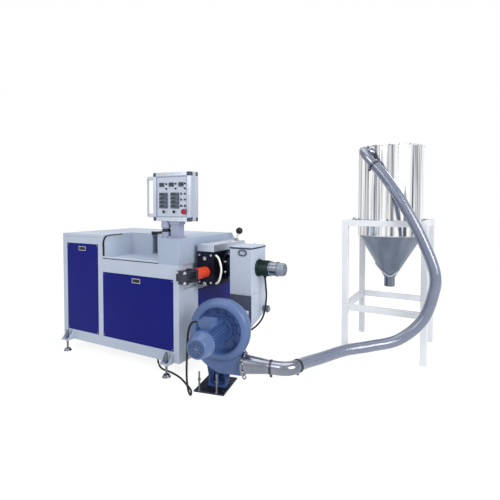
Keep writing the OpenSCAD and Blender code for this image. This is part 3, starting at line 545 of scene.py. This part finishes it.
# %% Finishes of the frame's solids
finishes = {
    "frame_posts": (frame_paint, 3), "frame_rails": (frame_paint, 2),
    "drive_panel": (panel_paint, 2.5), "barrel_panel": (panel_paint, 2.5),
    "plain_panels": (panel_paint, 2.5), "die_end_panel": (panel_paint, 2.5),
    "die_end_plates": (frame_paint, 2), "front_fascia": (frame_paint, 3),
    "drive_cover": (frame_paint, 5), "rear_cover": (frame_paint, 5), "feed_tray": (frame_paint, 1),
    "feed_throat": (plate_steel, 1), "die_end_housing": (housing_painted_shade, 5),
    "cable_duct": (column_paint, 2), "panel_pulls": (zinc_steel, 0.8),
    "foot_brackets": (frame_paint, 1.5), "levelling_feet": (clamp_steel, 1),
    "control_column": (column_paint, 2), "control_box": (profile_bar, 0),
    "control_box_corners": (grey_plastic, 6), "control_handle": (pale_plastic, 1),
    "control_face": (face_sheet, 1), "control_instruments": (black_plastic, 1.5),
    "emergency_stop": (red_plastic, 1.5), "screen_changer": (tool_steel, 3),
    "changer_cover": (aluminium, 2.5), "screen_ram": (ram_paint, 2), "ram_caps": (plate_steel, 3),
    "clamp_lever": (bright_steel, 1), "die_head": (tool_steel, 2.5),
    "heater_sleeve": (glass_fibre, 0), "cutter_hood": (frame_paint, 4),
    "hood_lid": (frame_paint, 2), "hood_latch": (grey_plastic, 1.5),
    "pellet_chute": (frame_paint, 2), "air_stub": (pipe_steel, 1), "cutter_motor": (motor_green, 1),
    "suction_duct": (frame_paint, 1), "blower_casing": (blower_paint, 3),
    "blower_motor": (motor_blue_painted_shade, 1.2), "fan_cover": (blower_paint, 1.2),
    "terminal_box": (blower_paint, 3), "blower_stand": (stand_painted_shade, 2.5),
    "blower_plate": (plate_steel, 1.5), "blower_studs": (clamp_steel, 0.6),
    "outlet_pipe": (pipe_steel, 1), "hose_clamps": (band_steel, 0.8),
    "cable_glands": (black_plastic, 0.8), "silo_shell": (stainless, 0),
    "silo_cone": (cone_steel, 0.8), "silo_outlet": (cone_steel, 0.8), "silo_inlet": (pipe_steel, 0),
    "silo_stand": (white_paint, 3), "conveying_hose": (pvc_hose, 0),
    "blower_cable": (cable_rubber, 0), "cutter_cable": (cable_rubber, 0),
}
weld_reach = 0.00002
sharp_angle = math.radians(35)
for name, (material, edge) in finishes.items():
    solid = nodes[name]
    mesh = solid.data
    mesh.materials.clear()
    mesh.materials.append(material)
    if "custom_normal" in mesh.attributes:
        mesh.attributes.remove(mesh.attributes["custom_normal"])
    mesh.polygons.foreach_set("use_smooth", [True] * len(mesh.polygons))
    join = solid.modifiers.new("join_faces", "WELD")
    join.merge_threshold = weld_reach
    if edge:
        soften = solid.modifiers.new("break_edges", "BEVEL")
        soften.width = edge / 1000
        soften.segments = 2
        soften.limit_method = "ANGLE"
        soften.angle_limit = sharp_angle
        soften.harden_normals = True
    else:
        part_edges = solid.modifiers.new("part_edges", "EDGE_SPLIT")
        part_edges.split_angle = sharp_angle
print("finished solids:", len(finishes), "of", len(nodes))

# %% [markdown]
# Rubber edging covers the cut edge of the tray's side sheet, so a hand reaching in is not scratched. It
# runs up the front, rounds the corner and follows the top, so it is swept along a few corner points. A
# dark seal closes the joint under the tray's lip; its black is partly painted shadow under the lip. A
# moulded guard covers the throat's top edge.

# %% Tray edging, seal and throat guard
flat = Matrix.Translation(corner)
tray_left = -905
upright_run = 0.19
edging_points = [[tray_left, 8, 972], [tray_left, 8, 1040], [tray_left, 8, 1100], [tray_left, 26, 1143],
                 [tray_left, 68, 1160], [tray_left, 150, 1163], [tray_left, 240, 1163]]


def edging_radius(gone, turn):
    return 8.5 if gone < upright_run else 4.5


bm = bmesh.new()
swept(bm, smooth_line(edging_points, 6), edging_radius, 12)
# The strip under the lip is a seal whose black is partly painted shadow of the lip.
block(bm, flat, (-912, 2.5, 944.5), (-224, 7.2, 949), 0.8)
piece("tray_edging", bm, cable_rubber)
bm = bmesh.new()
block(bm, flat, (-636, 360, 1170), (-522, 384, 1190), 4)
block(bm, flat, (-631, 364, 1152), (-561, 370, 1171), 2)
piece("throat_top_guard", bm, black_plastic)

# %% [markdown]
# A flush pull is a chromed frame round a dark finger pocket. The blue panels hang on it and are lifted
# off by hand, so the pocket has a thin lip to hook the fingers under. Four softened bars make the frame,
# which needs no hole to be cut. Sizes are half widths and half heights.

# %% Panel pulls
pull_places = [(-1200, 1026), (-487.5, 771)]
pull_back = 4.5
pocket_x, pocket_z, lip_z = 45, 16, 8
pull_x, pull_z, pull_bar = 50, 21, 6
in_x, in_z = pull_x - pull_bar, pull_z - pull_bar
pull_bars = [(-pull_x, pull_x, in_z, pull_z), (-pull_x, pull_x, -pull_z, -in_z),
             (-pull_x, -in_x, -in_z, in_z), (in_x, pull_x, -in_z, in_z)]
bm = bmesh.new()
for x, z in pull_places:
    block(bm, flat, (x - pocket_x, 1.9, z - pocket_z), (x + pocket_x, pull_back, z + pocket_z), 0.6)
    block(bm, flat, (x - pocket_x, 0.9, z - pocket_z), (x + pocket_x, 2.4, z - lip_z), 0.6)
piece("pull_pockets", bm, black_plastic)
bm = bmesh.new()
for x, z in pull_places:
    for x0, x1, z0, z1 in pull_bars:
        block(bm, flat, (x + x0, 0.7, z + z0), (x + x1, pull_back, z + z1), 1.2)
piece("pull_frames", bm, zinc_steel, ["panel_pulls"])

# %% [markdown]
# Small screws near the corners hold the stiffeners that are folded behind each blue sheet. One head is
# turned from its outline, socket included, and set out from the sheet's own edges.

# %% Panel screws
forward, sideways, upward = (0, -1, 0), (1, 0, 0), (0, 0, 1)
screw_inset, screw_wide, screw_tall = 16, 9, 2.6
front_face, back_face, left_face = 4, 956, -1481
front_panels = [(-1425, -975, 206, 1076), (-915, -60, 206, 821)]
back_panels = [(-1425, -975, 206, 1076), (-915, -60, 206, 944)]
left_panel = (62, 898, 206, 1076)


def facing(point, direction):
    return Matrix.Translation(point) @ Vector(direction).to_track_quat("Z", "Y").to_matrix().to_4x4()


def cap_screw(bm, spot, width, height):
    socket = width * 0.28
    outline = [(width / 2, 0), (width / 2, height - 1), (width / 2 - 1, height), (socket, height)]
    turned(bm, spot, outline + [(socket, height * 0.5)], 24)


def corner_spots(a0, a1, z0, z1):
    heights = (z0 + screw_inset, z1 - screw_inset)
    return [(a, z) for a in (a0 + screw_inset, a1 - screw_inset) for z in heights]


bm = bmesh.new()
for panels, y, way in [(front_panels, front_face, -1), (back_panels, back_face, 1)]:
    for panel in panels:
        for x, z in corner_spots(*panel):
            cap_screw(bm, facing(at(x, y, z), (0, way, 0)), screw_wide, screw_tall)
for y, z in corner_spots(*left_panel):
    cap_screw(bm, facing(at(left_face, y, z), (-1, 0, 0)), screw_wide, screw_tall)
piece("panel_screws", bm, zinc_steel)

# %% [markdown]
# The drive's motor needs air. Louvres are pressed out of the panel's own sheet at the back and at the
# left end: each is a low hood, open below, so water and film scraps stay out. The hood's outline is drawn
# four times across, smaller at both ends, and joined up, so the sheet itself needs no cut.

# %% Louvres
louvre_end, louvre_flat, end_share = 80, 74, 0.3
louvre_low, louvre_high, louvre_pitch = 330, 620, 32
hood_outline = [(0, 0), (0, 14), (1.2, 13.2), (2.4, 10), (3.2, 5), (3.4, 0)]
back_spot = Matrix.Translation(at(-1200, back_face, 0))
left_spot = Matrix.Translation(at(left_face, 480, 0)) @ Matrix.Rotation(math.pi / 2, 4, "Z")
bm = bmesh.new()
for spot, columns in [(back_spot, (-105, 105)), (left_spot, (-210, 0, 210))]:
    for x in columns:
        for z in range(louvre_low, louvre_high, louvre_pitch):
            ends = []
            for side in (-louvre_end, -louvre_flat, louvre_flat, louvre_end):
                share = end_share if abs(side) == louvre_end else 1.0
                ends.append([spot @ mm(x + side, out * share, z + up) for out, up in hood_outline])
            strip(bm, ends)
piece("louvres", bm, panel_paint)

# %% [markdown]
# The control face is a printed sheet in an aluminium frame. Meters, temperature controllers, push
# buttons and switches are bought parts, each with its own bezel, so each kind is built once and set out
# on the face's grid. A place on the face is a share of its width and of its height from the top.

# %% Control face: meters and controllers
box_left, box_bottom, box_wide, box_tall = -289, 1314, 400, 414
face_y = 18


def face(u, v):
    return facing(at(box_left + u * box_wide, face_y, box_bottom + (1 - v) * box_tall), forward)


meter_us, meter_v = (0.24, 0.5, 0.76), 0.254
controller_us, lowest_v, row_step = (0.185, 0.4925), 0.739, 0.082
cases, windows, keys = bmesh.new(), bmesh.new(), bmesh.new()
for u in meter_us:
    spot = face(u, meter_v)
    block(cases, spot, (-24, -18, 0), (24, 18, 7), 1.5)
    block(windows, spot, (-20, -7, 6), (20, 14, 7.6), 0.5)
    block(keys, spot, (-7, -15, 6), (7, -10, 7.8), 0.6)
for u in controller_us:
    for row in range(4):
        spot = face(u, lowest_v - row_step * row)
        block(cases, spot, (0, 0.4, 0), (82, 31.4, 11), 1.5)
        block(windows, spot, (5, 12, 10), (54, 28, 11.6), 0.5)
        block(keys, spot, (58, 20, 10), (77, 27, 11.7), 0.8)
        for left in range(6, 78, 18):
            block(keys, spot, (left, 3.5, 10), (left + 13, 8.5, 11.8), 0.8)
piece("instrument_cases", cases, grey_plastic, ["control_instruments"])
piece("instrument_windows", windows, display_glass)
piece("instrument_keys", keys, key_grey)

# %% [markdown]
# Push buttons and rotary switches are clamped through round holes by a metal bezel, so each is a ring
# with a cap inside it. All are turned from an outline, as they are on a lathe. Small trim knobs set the
# meters.

# %% Control face: buttons and switches
bezels, grey_caps, black_caps = bmesh.new(), bmesh.new(), bmesh.new()
button_ring = [(12.5, 0), (12.5, 3), (11, 4.2), (9.6, 4.2), (9.6, 0)]
button_cap = [(9.2, 0), (9.2, 7), (8.4, 8.4), (5, 9)]
switch_ring = [(14.5, 0), (14.5, 3), (12.5, 4.5), (10, 4.5), (10, 0)]
switch_cap = [(12, 0), (12, 8), (11, 10)]
trim_knob = [(8, 0), (8, 3), (6.5, 3.5), (6, 11), (5, 12)]
for v, caps in [(0.442, grey_caps), (0.558, grey_caps), (0.684, black_caps)]:
    for u in (0.768, 0.866):
        turned(bezels, face(u, v), button_ring, 28, True)
        turned(caps, face(u, v), button_cap, 28)
for u in (0.3025, 0.5775):
    spot = face(u, 0.807)
    turned(bezels, spot, switch_ring, 28, True)
    turned(black_caps, spot, switch_cap, 28)
    block(black_caps, spot, (-3.5, -12, 8), (3.5, 12, 21), 1.5)
for u in (0.365, 0.615, 0.862):
    for v in (0.239, 0.336):
        turned(black_caps, face(u, v), trim_knob, 20)
piece("button_bezels", bezels, zinc_steel)
piece("grey_button_caps", grey_caps, grey_plastic)
piece("black_button_caps", black_caps, black_plastic)

# %% [markdown]
# A foam seal runs round the face, where the sheet is pressed into its frame. The frame is an extruded
# aluminium profile. Each bar has two flats with a groove between them, which is where a drawn profile
# takes its sliding nuts. Thin strips on the solid draw the flats and leave the groove open. Dark corner
# pieces join the bars.

# %% Seal and profile bars of the control box
seal_in, seal_out = 33, 41


def on_box(x, y, z):
    return (box_left + x, y, box_bottom + z)


bm = bmesh.new()
for x0, x1, z0, z1 in [(seal_in, box_wide - seal_in, seal_in, seal_out),
                       (seal_in, box_wide - seal_in, box_tall - seal_out, box_tall - seal_in),
                       (seal_in, seal_out, seal_out, box_tall - seal_out),
                       (box_wide - seal_out, box_wide - seal_in, seal_out, box_tall - seal_out)]:
    block(bm, flat, on_box(x0, 13.4, z0), on_box(x1, 18.5, z1), 0.8)
piece("control_face_seal", bm, seal_grey)

bar_low = 34.6
bar_right, bar_top = box_wide - bar_low, box_tall - bar_low
bm = bmesh.new()
for a, b in [(1.5, 15.5), (17.5, 32.5)]:
    for x0, x1, z0, z1 in [(bar_low, bar_right, a, b), (bar_low, bar_right, box_tall - b, box_tall - a),
                           (a, b, bar_low, bar_top), (box_wide - b, box_wide - a, bar_low, bar_top)]:
        block(bm, flat, on_box(x0, 12.2, z0), on_box(x1, 16, z1), 1.4)
for y0, y1 in [(16, 29), (31, 46), (94, 109), (111, 124)]:
    block(bm, flat, on_box(box_wide - 2, y0, bar_low), on_box(box_wide + 1.8, y1, bar_top), 1.4)
    block(bm, flat, on_box(-1.8, y0, bar_low), on_box(2, y1, bar_top), 1.4)
piece("control_frame_bars", bm, profile_bar)

# %% [markdown]
# The pull handle stands on two moulded blocks that are screwed to the side of the box. Four screws hold
# the column's foot. A rubber band closes the joint of the cable duct, and a turned outline gives it the
# rounded lips that a plain tube lacks.

# %% Handle blocks, column screws and duct band
handle_end = 46
bm = bmesh.new()
for z in (handle_end, box_tall - handle_end):
    block(bm, flat, (-346, 14.5, box_bottom + z - 16), (-288, 54, box_bottom + z + 16), 4)
piece("handle_blocks", bm, pale_plastic)
column_x, column_y, foot_reach, foot_top = -67, 70, 47, 1178
bm = bmesh.new()
for x in (column_x - foot_reach, column_x + foot_reach):
    for y in (column_y - foot_reach, column_y + foot_reach):
        cap_screw(bm, facing(at(x, y, foot_top), upward), 12, 7)
piece("column_screws", bm, zinc_steel)
duct_ring = [(30, 51), (37, 51), (38, 54), (38, 70), (36, 75), (30, 75)]
bm = bmesh.new()
turned(bm, facing(at(-180, 60, 1170), upward), duct_ring, 40, True)
block(bm, flat, (-262, 46, 1200), (-214, 74, 1222), 6)
piece("duct_band", bm, black_plastic)

# %% [markdown]
# Screen changer and die are tool steel blocks pulled together by high-strength screws. The heads sit on
# the faces a fitter can reach with a key. Hexagon heads go on the die flange, where a spanner fits from
# the side. A hexagon head is an outline turned in six steps, on a washer turned in many.

# %% Screws of the die end
die_y, die_z = 430, 910
ram_x, ram_z, ram_reach = 130, 875, 40
big_head, small_head = 34, 20
changer_heads = [(130, 992, big_head), (130, 775, big_head), (70, 1020, small_head),
                 (190, 1020, small_head), (70, 785, small_head), (190, 785, small_head)]


def bolt(bm, spot, across, height):
    turned(bm, spot, [(across * 0.66, 0), (across * 0.66, 2), (across * 0.62, 2.4)], 24)
    turned(bm, spot, [(across * 0.57, 2.2), (across * 0.57, height - 1.5), (across * 0.5, height)], 6)


def circle_spots(count, radius, first_degrees):
    turns = [math.radians(first_degrees + 360 * k / count) for k in range(count)]
    return [(radius * math.cos(turn), radius * math.sin(turn)) for turn in turns]


bm = bmesh.new()
for x, z, width in changer_heads:
    cap_screw(bm, facing(at(x, 200, z), forward), width, width * 0.45)
for y in (240, 380, 520, 660):
    for x in (75, 185):
        cap_screw(bm, facing(at(x, y, 1110), upward), 18, 9)
for y, z in circle_spots(8, 114, 22.5):
    bolt(bm, facing(at(249, die_y + y, die_z + z), sideways), 20, 14)
for x in (ram_x - ram_reach, ram_x + ram_reach):
    for z in (ram_z - ram_reach, ram_z + ram_reach):
        bolt(bm, facing(at(x, -130, z), forward), 19, 15)
piece("die_end_screws", bm, zinc_steel)

# %% [markdown]
# The clamp lever ends in a moulded ball, turned from an arc that leaves a small flat where it is seated.
# The heater's leads leave the changer in a braided sleeve of glass fibre, because rubber would burn
# there. Eight strands show as a low ripple round the sleeve.

# %% Lever ball and heater sleeve
ball_radius = 34
arcs = [math.radians(a) for a in range(-85, 86, 10)]
bm = bmesh.new()
turned(bm, facing(at(130, 777, 1196), upward),
       [(ball_radius * math.cos(a), ball_radius * math.sin(a)) for a in arcs], 32)
piece("lever_ball", bm, black_plastic, (), 60)
sleeve_points = [[216, 230, 1020], [250, 228, 990], [275, 226, 910], [262, 228, 830], [240, 230, 790],
                 [216, 232, 775]]
sleeve_line = even_line(smooth_line(sleeve_points, 20), 0.0025)
bm = bmesh.new()
swept(bm, sleeve_line, lambda gone, turn: 8.7 + 0.3 * math.cos(8 * turn + gone * 900), 24)
piece("heater_lead_sleeve", bm, glass_fibre, ["heater_sleeve"], 70)

# %% [markdown]
# The hood's lid presses on a rubber gasket that keeps the pellets in. Only its edge is seen, so four
# strips are enough. Below the hood a dark plate closes the chute's front and is held by a wing bolt, so
# it comes off for cleaning without a tool. Its dark grey is painted shade for the shadowed front.

# %% Hood gasket, lid screws and chute plate
x0, x1, y0, y1, rim = 313.5, 529.5, 298.5, 561.5, 7.5
bm = bmesh.new()
for low, high in [((x0, y0), (x1, y0 + rim)), ((x0, y1 - rim), (x1, y1)),
                  ((x0, y0 + rim), (x0 + rim, y1 - rim)), ((x1 - rim, y0 + rim), (x1, y1 - rim))]:
    block(bm, flat, (*low, 1078.5), (*high, 1089.5), 2)
piece("lid_gasket", bm, gasket_rubber)
bm = bmesh.new()
for x in (328, 421, 515):
    for y in (313, 547):
        cap_screw(bm, facing(at(x, y, 1100), upward), 12, 6)
for x in (424, 462):
    cap_screw(bm, facing(at(x, 300, 1046), forward), 9, 5)
wing = facing(at(485, 298.6, 532), forward)
turned(bm, wing, [(13, 0), (13, 3), (8, 4), (8, 14), (6, 16)], 24)
block(bm, wing, (-27, -4, 6), (-5, 4, 20), 3)
block(bm, wing, (5, -4, 6), (27, 4, 20), 3)
piece("hood_screws", bm, zinc_steel)
bm = bmesh.new()
# Painted shade: the plate's dark grey stands for the shadow in the chute's front.
block(bm, flat, (316.5, 298.2, 424), (526.5, 300.5, 687), 0.8)
block(bm, flat, (316.5, 296.8, 676), (526.5, 298.6, 687), 0.6)
piece("chute_front_plate", bm, chute_painted_shade)

# %% [markdown]
# The cutter motor has three bodies: a green finned stator, a bright clutch ring and a grey fan cap.
# Cooling fins are thin blocks set round the stator. The cap's air slots could be cut, but dark rings let
# into its face look the same and keep the mesh clean. Their black is painted shade for the dark inside
# of the slots.

# %% Cutter motor
axis = facing(at(528, die_y, die_z), sideways)
fin_count = 36
stator = [(76, 0), (76, 12), (74, 14), (62, 14), (62, 118), (40, 118)]
clutch = [(40, 116), (66, 116), (66, 122), (60, 125), (60, 176), (64, 178), (64, 186), (40, 186)]
fan_cap = [(50, 184), (57, 184), (57.5, 190), (55.5, 236), (52, 244), (46, 248), (40, 246), (36, 248),
           (26, 248), (22, 246), (16, 248), (6, 248)]


def shift(x, y, z):
    return Matrix.Translation(mm(x, y, z))


def square_ring(inner, outer, low, high):
    return [(inner, low), (inner, high), (outer, high), (outer, low)]


bm = bmesh.new()
turned(bm, axis, stator, 48)
for k in range(fin_count):
    spin = axis @ Matrix.Rotation(2 * math.pi * k / fin_count, 4, "Z")
    block(bm, spin, (60, -1.8, 18), (67, 1.8, 112), 0.6)
piece("cutter_motor_stator", bm, motor_green, ["cutter_motor"])
bm = bmesh.new()
turned(bm, axis, clutch, 56)
for x, y in circle_spots(4, 60.5, 45):
    cap_screw(bm, axis @ shift(x, y, 186), 6, 5)
piece("cutter_motor_ring", bm, pipe_steel)
bm = bmesh.new()
turned(bm, axis, fan_cap, 48)
piece("cutter_motor_cap", bm, silver_enamel)
slot_half = 3.4
bm = bmesh.new()
for radius in (12, 22, 32, 41):
    turned(bm, axis, square_ring(radius - slot_half, radius + slot_half, 245, 247.9), 40, True)
# Painted shade: black rings stand for the dark inside of the air slots.
piece("cutter_cap_slots_painted_shade", bm, black_plastic)

# %% [markdown]
# The blower is the finest casting of the line. A deep recess takes the motor's flange, and its floor is
# ribbed to stay stiff. Floor and rounded lip are turned from one outline, so no joint shows between
# them, and the ribs stand on the floor.

# %% Blower castings
blower_yaw = math.radians(11.5)
blower_centre = at(427, -50, 476)
blower_turn = Matrix.Translation(blower_centre) @ Matrix.Rotation(blower_yaw, 4, "Z")


def on_blower(x, y, z):
    return blower_turn @ shift(x, y, z) @ Matrix.Rotation(math.pi / 2, 4, "X")


floor_spot = on_blower(0, 70, 0)
rib_count = 12
lip_radius, lip_wide, lip_deep = 191, 16, 40
arcs = [math.radians(a) for a in range(180, 101, -6)]
lip = [(lip_radius + lip_wide * math.cos(a), lip_deep + lip_deep * math.sin(a)) for a in arcs]
lip_front = [(r - 0.7, h) for r, h in lip]
lip_back = [(r + 1.5, h - 1.5) for r, h in reversed(lip)]
recess = [(125, 0), (125, 3), (173, 3)] + lip_front + lip_back + [(176.5, 0)]
bm = bmesh.new()
turned(bm, floor_spot, recess, 96, True)
for k in range(rib_count):
    rib = floor_spot @ Matrix.Rotation(2 * math.pi * (k + 0.5) / rib_count, 4, "Z")
    block(bm, rib, (126, -3, 2), (173, 3, 16), 1.5)
piece("recess_floor", bm, recess_paint)
rim_bead = [(240, -6), (247.5, -6), (248.5, -4), (248.5, 4), (246, 7), (240, 7)]
bm = bmesh.new()
turned(bm, on_blower(0, 30, 0), rim_bead, 96, True)
piece("casing_rim_bead", bm, blower_paint)

# %% [markdown]
# The blower's own screws are sprayed over with the casting. The outlet's bolts are fitted later, with
# the pipe, so they stay bright. The same hexagon head serves for both, in two finishes.

# %% Blower screws and outlet bolts
bm = bmesh.new()
for x, z in circle_spots(8, 112, 22.5):
    bolt(bm, on_blower(x, 58, z), 13, 9)
for x in (-42, 42):
    for y in (-245, -161):
        cap_screw(bm, blower_turn @ shift(x, y, 150), 8, 4)
for x in (-94, 26):
    for y in (56, 152):
        bolt(bm, blower_turn @ shift(x, y, -450), 18, 12)
# The screws take the motor's darker blue, and with it its painted shade.
piece("blower_screws", bm, motor_blue_painted_shade)
outlet_spot = blower_turn @ shift(191, 85, -268) @ Matrix.Rotation(math.pi / 2, 4, "Y")
bm = bmesh.new()
for x, y in circle_spots(8, 84, 22.5):
    bolt(bm, outlet_spot @ shift(x, y, 0), 13, 9)
piece("outlet_flange_bolts", bm, zinc_steel)

# %% [markdown]
# The fan end is closed by a guard of rings and spokes, so air gets in and fingers do not. Dark rings,
# painted shade, stand for the open spaces, so the cover needs no holes, and the spokes stand in front
# of them.

# %% Fan guard
guard = on_blower(0, -402, 0)
spoke_count = 8
bm = bmesh.new()
for radius in range(14, 54, 10):
    turned(bm, guard, square_ring(radius + 0.2, radius + 7.4, -0.5, 0.6), 40, True)
# Painted shade: black rings stand for the dark open spaces of the guard.
piece("fan_guard_openings_painted_shade", bm, black_plastic)
bm = bmesh.new()
for k in range(spoke_count):
    spoke = guard @ Matrix.Rotation(math.radians(360 * k / spoke_count), 4, "Z")
    block(bm, spoke, (12, -1.6, 2.2), (56, 1.6, 5.8), 0.8)
turned(bm, guard, [(13, 1), (13, 5.6), (10, 6.4), (4, 6.4)], 28)
piece("fan_guard_spokes", bm, blower_paint)

# %% [markdown]
# The silo is rolled from one sheet, so one upright weld closes it and a round weld joins the cone. Each
# is a low bead of real height, which catches light as a bump could not at the outline. A film of plastic
# dust lines the inside. The inlet pipe is bent from polished tube.

# %% Silo welds, lining and inlet pipe
silo = Matrix.Translation(at(1415, 1620, 0))
shell_radius = 310
seam = math.radians(200)
round_weld = [(309.5, 1146), (312.5, 1149), (312.5, 1151), (309.5, 1154)]
lining = [(304.6, 1152), (304.6, 2012), (305.6, 2012), (305.6, 1151), (48.2, 724), (47.4, 726)]
inlet_points = [[1315, 1220, 1845], [1262, 1234, 1906], [1225, 1262, 1955], [1222, 1310, 1972],
                [1232, 1380, 1972]]
inlet_radius = 40
bm = bmesh.new()
turned(bm, silo, round_weld, 128, True)
seam_spot = silo @ shift(shell_radius * math.cos(seam), shell_radius * math.sin(seam), 0)
block(bm, seam_spot @ Matrix.Rotation(seam, 4, "Z"), (-1, -3, 1154), (1.6, 3, 2014), 0.8)
piece("silo_welds", bm, zinc_steel)
bm = bmesh.new()
turned(bm, silo, lining, 96, True)
piece("silo_dust_film", bm, dusty_steel)
bm = bmesh.new()
swept(bm, smooth_line(inlet_points, 10), lambda gone, turn: inlet_radius, 40)
piece("silo_inlet_pipe", bm, pipe_steel, ["silo_inlet"], 60)

# %% [markdown]
# A pale band hangs round the cone and holds a cover on its outlet. A flat ring would cut through the
# cone. The band lies on it, so its distance from the axis grows with its height, and it sags lowest at
# the front.

# %% Cone band
cone_low, cone_tall, cone_small, cone_spread, off_cone = 718, 432, 52, 258, 5
band_low, band_rise, band_start, band_step = 735, 125, 199, 4.1
band_mid, band_half = math.radians(279), math.radians(80)
band_line = []
for k in range(33):
    turn = math.radians(band_start + band_step * k)
    height = band_low + band_rise * ((turn - band_mid) / band_half) ** 2
    reach = cone_small + max(height - cone_low, 0) * cone_spread / cone_tall + off_cone
    band_line.append(silo @ mm(reach * math.cos(turn), reach * math.sin(turn), height))
bm = bmesh.new()
swept(bm, band_line, lambda gone, turn: 6 + 3 * abs(math.sin(turn)), 12)
piece("cone_band", bm, pale_plastic)

# %% [markdown]
# The studio floor is matt white board. More lamps would make it white, but they would bleach the machine
# too. So it glows a little, only where the camera, a mirror or a clear wall looks at it, and it keeps the
# machine's shadow.

# %% Floor
floor_glow, glow_share, board_mm = 1.22, 0.72, 900
white = (1, 1, 1, 1)


def looked_at(tree):
    # These rays show a thing to the eye: straight, by a mirror or through a clear wall.
    path = add(tree, "ShaderNodeLightPath")
    rays = {0: (path, "Is Camera Ray"), 1: (path, "Is Glossy Ray")}
    direct = add(tree, "ShaderNodeMath", rays, operation="MAXIMUM")
    rays = {0: (direct, "Value"), 1: (path, "Is Transmission Ray")}
    return add(tree, "ShaderNodeMath", rays, operation="MAXIMUM")


bm = bmesh.new()
bmesh.ops.create_grid(bm, x_segments=8, y_segments=8, size=60)
mesh = bpy.data.meshes.new("studio_floor")
bm.to_mesh(mesh)
bm.free()
floor = bpy.data.objects.new("studio_floor", mesh)
bpy.context.scene.collection.objects.link(floor)
# Matt white board gives the eye a soft shadow and no shine.
floor_white, tree = new_material("white_studio_floor")
place = add(tree, "ShaderNodeTexCoord")
grain = add(tree, "ShaderNodeTexNoise", {"Vector": (place, "Object"), "Scale": per_mm(board_mm),
                                         "Detail": 2.0})
shares = {mix_share: (grain, "Fac"), mix_low: linear("#FBFBFB"), mix_high: linear("#F6F6F6")}
tone = add(tree, "ShaderNodeMix", shares, data_type="RGBA")
matt = add(tree, "ShaderNodeBsdfDiffuse", {"Color": (tone, mix_out)})
glow = add(tree, "ShaderNodeEmission", {"Color": white, "Strength": floor_glow})
seen = {0: (looked_at(tree), "Value"), 1: glow_share}
share = add(tree, "ShaderNodeMath", seen, operation="MULTIPLY")
both = add(tree, "ShaderNodeMixShader", {0: (share, "Value"), 1: (matt, "BSDF"), 2: (glow, "Emission")})
add(tree, "ShaderNodeOutputMaterial", {"Surface": (both, "Shader")})
mesh.materials.append(floor_white)
print("floor:", floor.dimensions.x, "m wide")

# %% [markdown]
# The sky is white where the camera or a mirror looks at it, and softer where it only lights the machine.
# So the metal reflects the same white that stands behind it, and pale paint keeps its colour.

# %% Sky
sky_light, sky_seen = 0.46, 1.0
world = bpy.data.worlds.new("white_studio")
bpy.context.scene.world = world
world.use_nodes = True
tree = world.node_tree
tree.nodes.clear()
level = add(tree, "ShaderNodeMapRange", {"Value": (looked_at(tree), "Value"), "To Min": sky_light,
                                         "To Max": sky_seen})
sky = add(tree, "ShaderNodeBackground", {"Color": white, "Strength": (level, "Result")})
add(tree, "ShaderNodeOutputWorld", {"Surface": (sky, "Background")})
print("sky:", sky_light, "as a lamp,", sky_seen, "as it is seen")

# %% [markdown]
# Three broad softboxes light the machine, because a wide lamp gives soft shadows and long highlights on
# bent tube. One stands in front, one to the right, and one hangs above.

# %% Lamps


def lamp(name, place, target, size, power):
    data = bpy.data.lights.new(name, "AREA")
    data.size = size
    data.energy = power
    thing = bpy.data.objects.new(name, data)
    thing.location = place
    thing.rotation_euler = (Vector(target) - Vector(place)).to_track_quat("-Z", "Y").to_euler()
    bpy.context.scene.collection.objects.link(thing)


lamp("key_softbox", (-0.8, -6.0, 4.6), (0.0, 0.0, 0.9), 3.2, 125)
lamp("fill_softbox", (5.5, -2.4, 3.2), (0.3, 0.0, 0.9), 3.0, 230)
lamp("top_softbox", (0.3, 0.2, 6.0), (0.3, 0.2, 0.0), 4.5, 120)
bpy.context.scene.view_settings.view_transform = "Standard"
print("lamps:", len(bpy.data.lights))
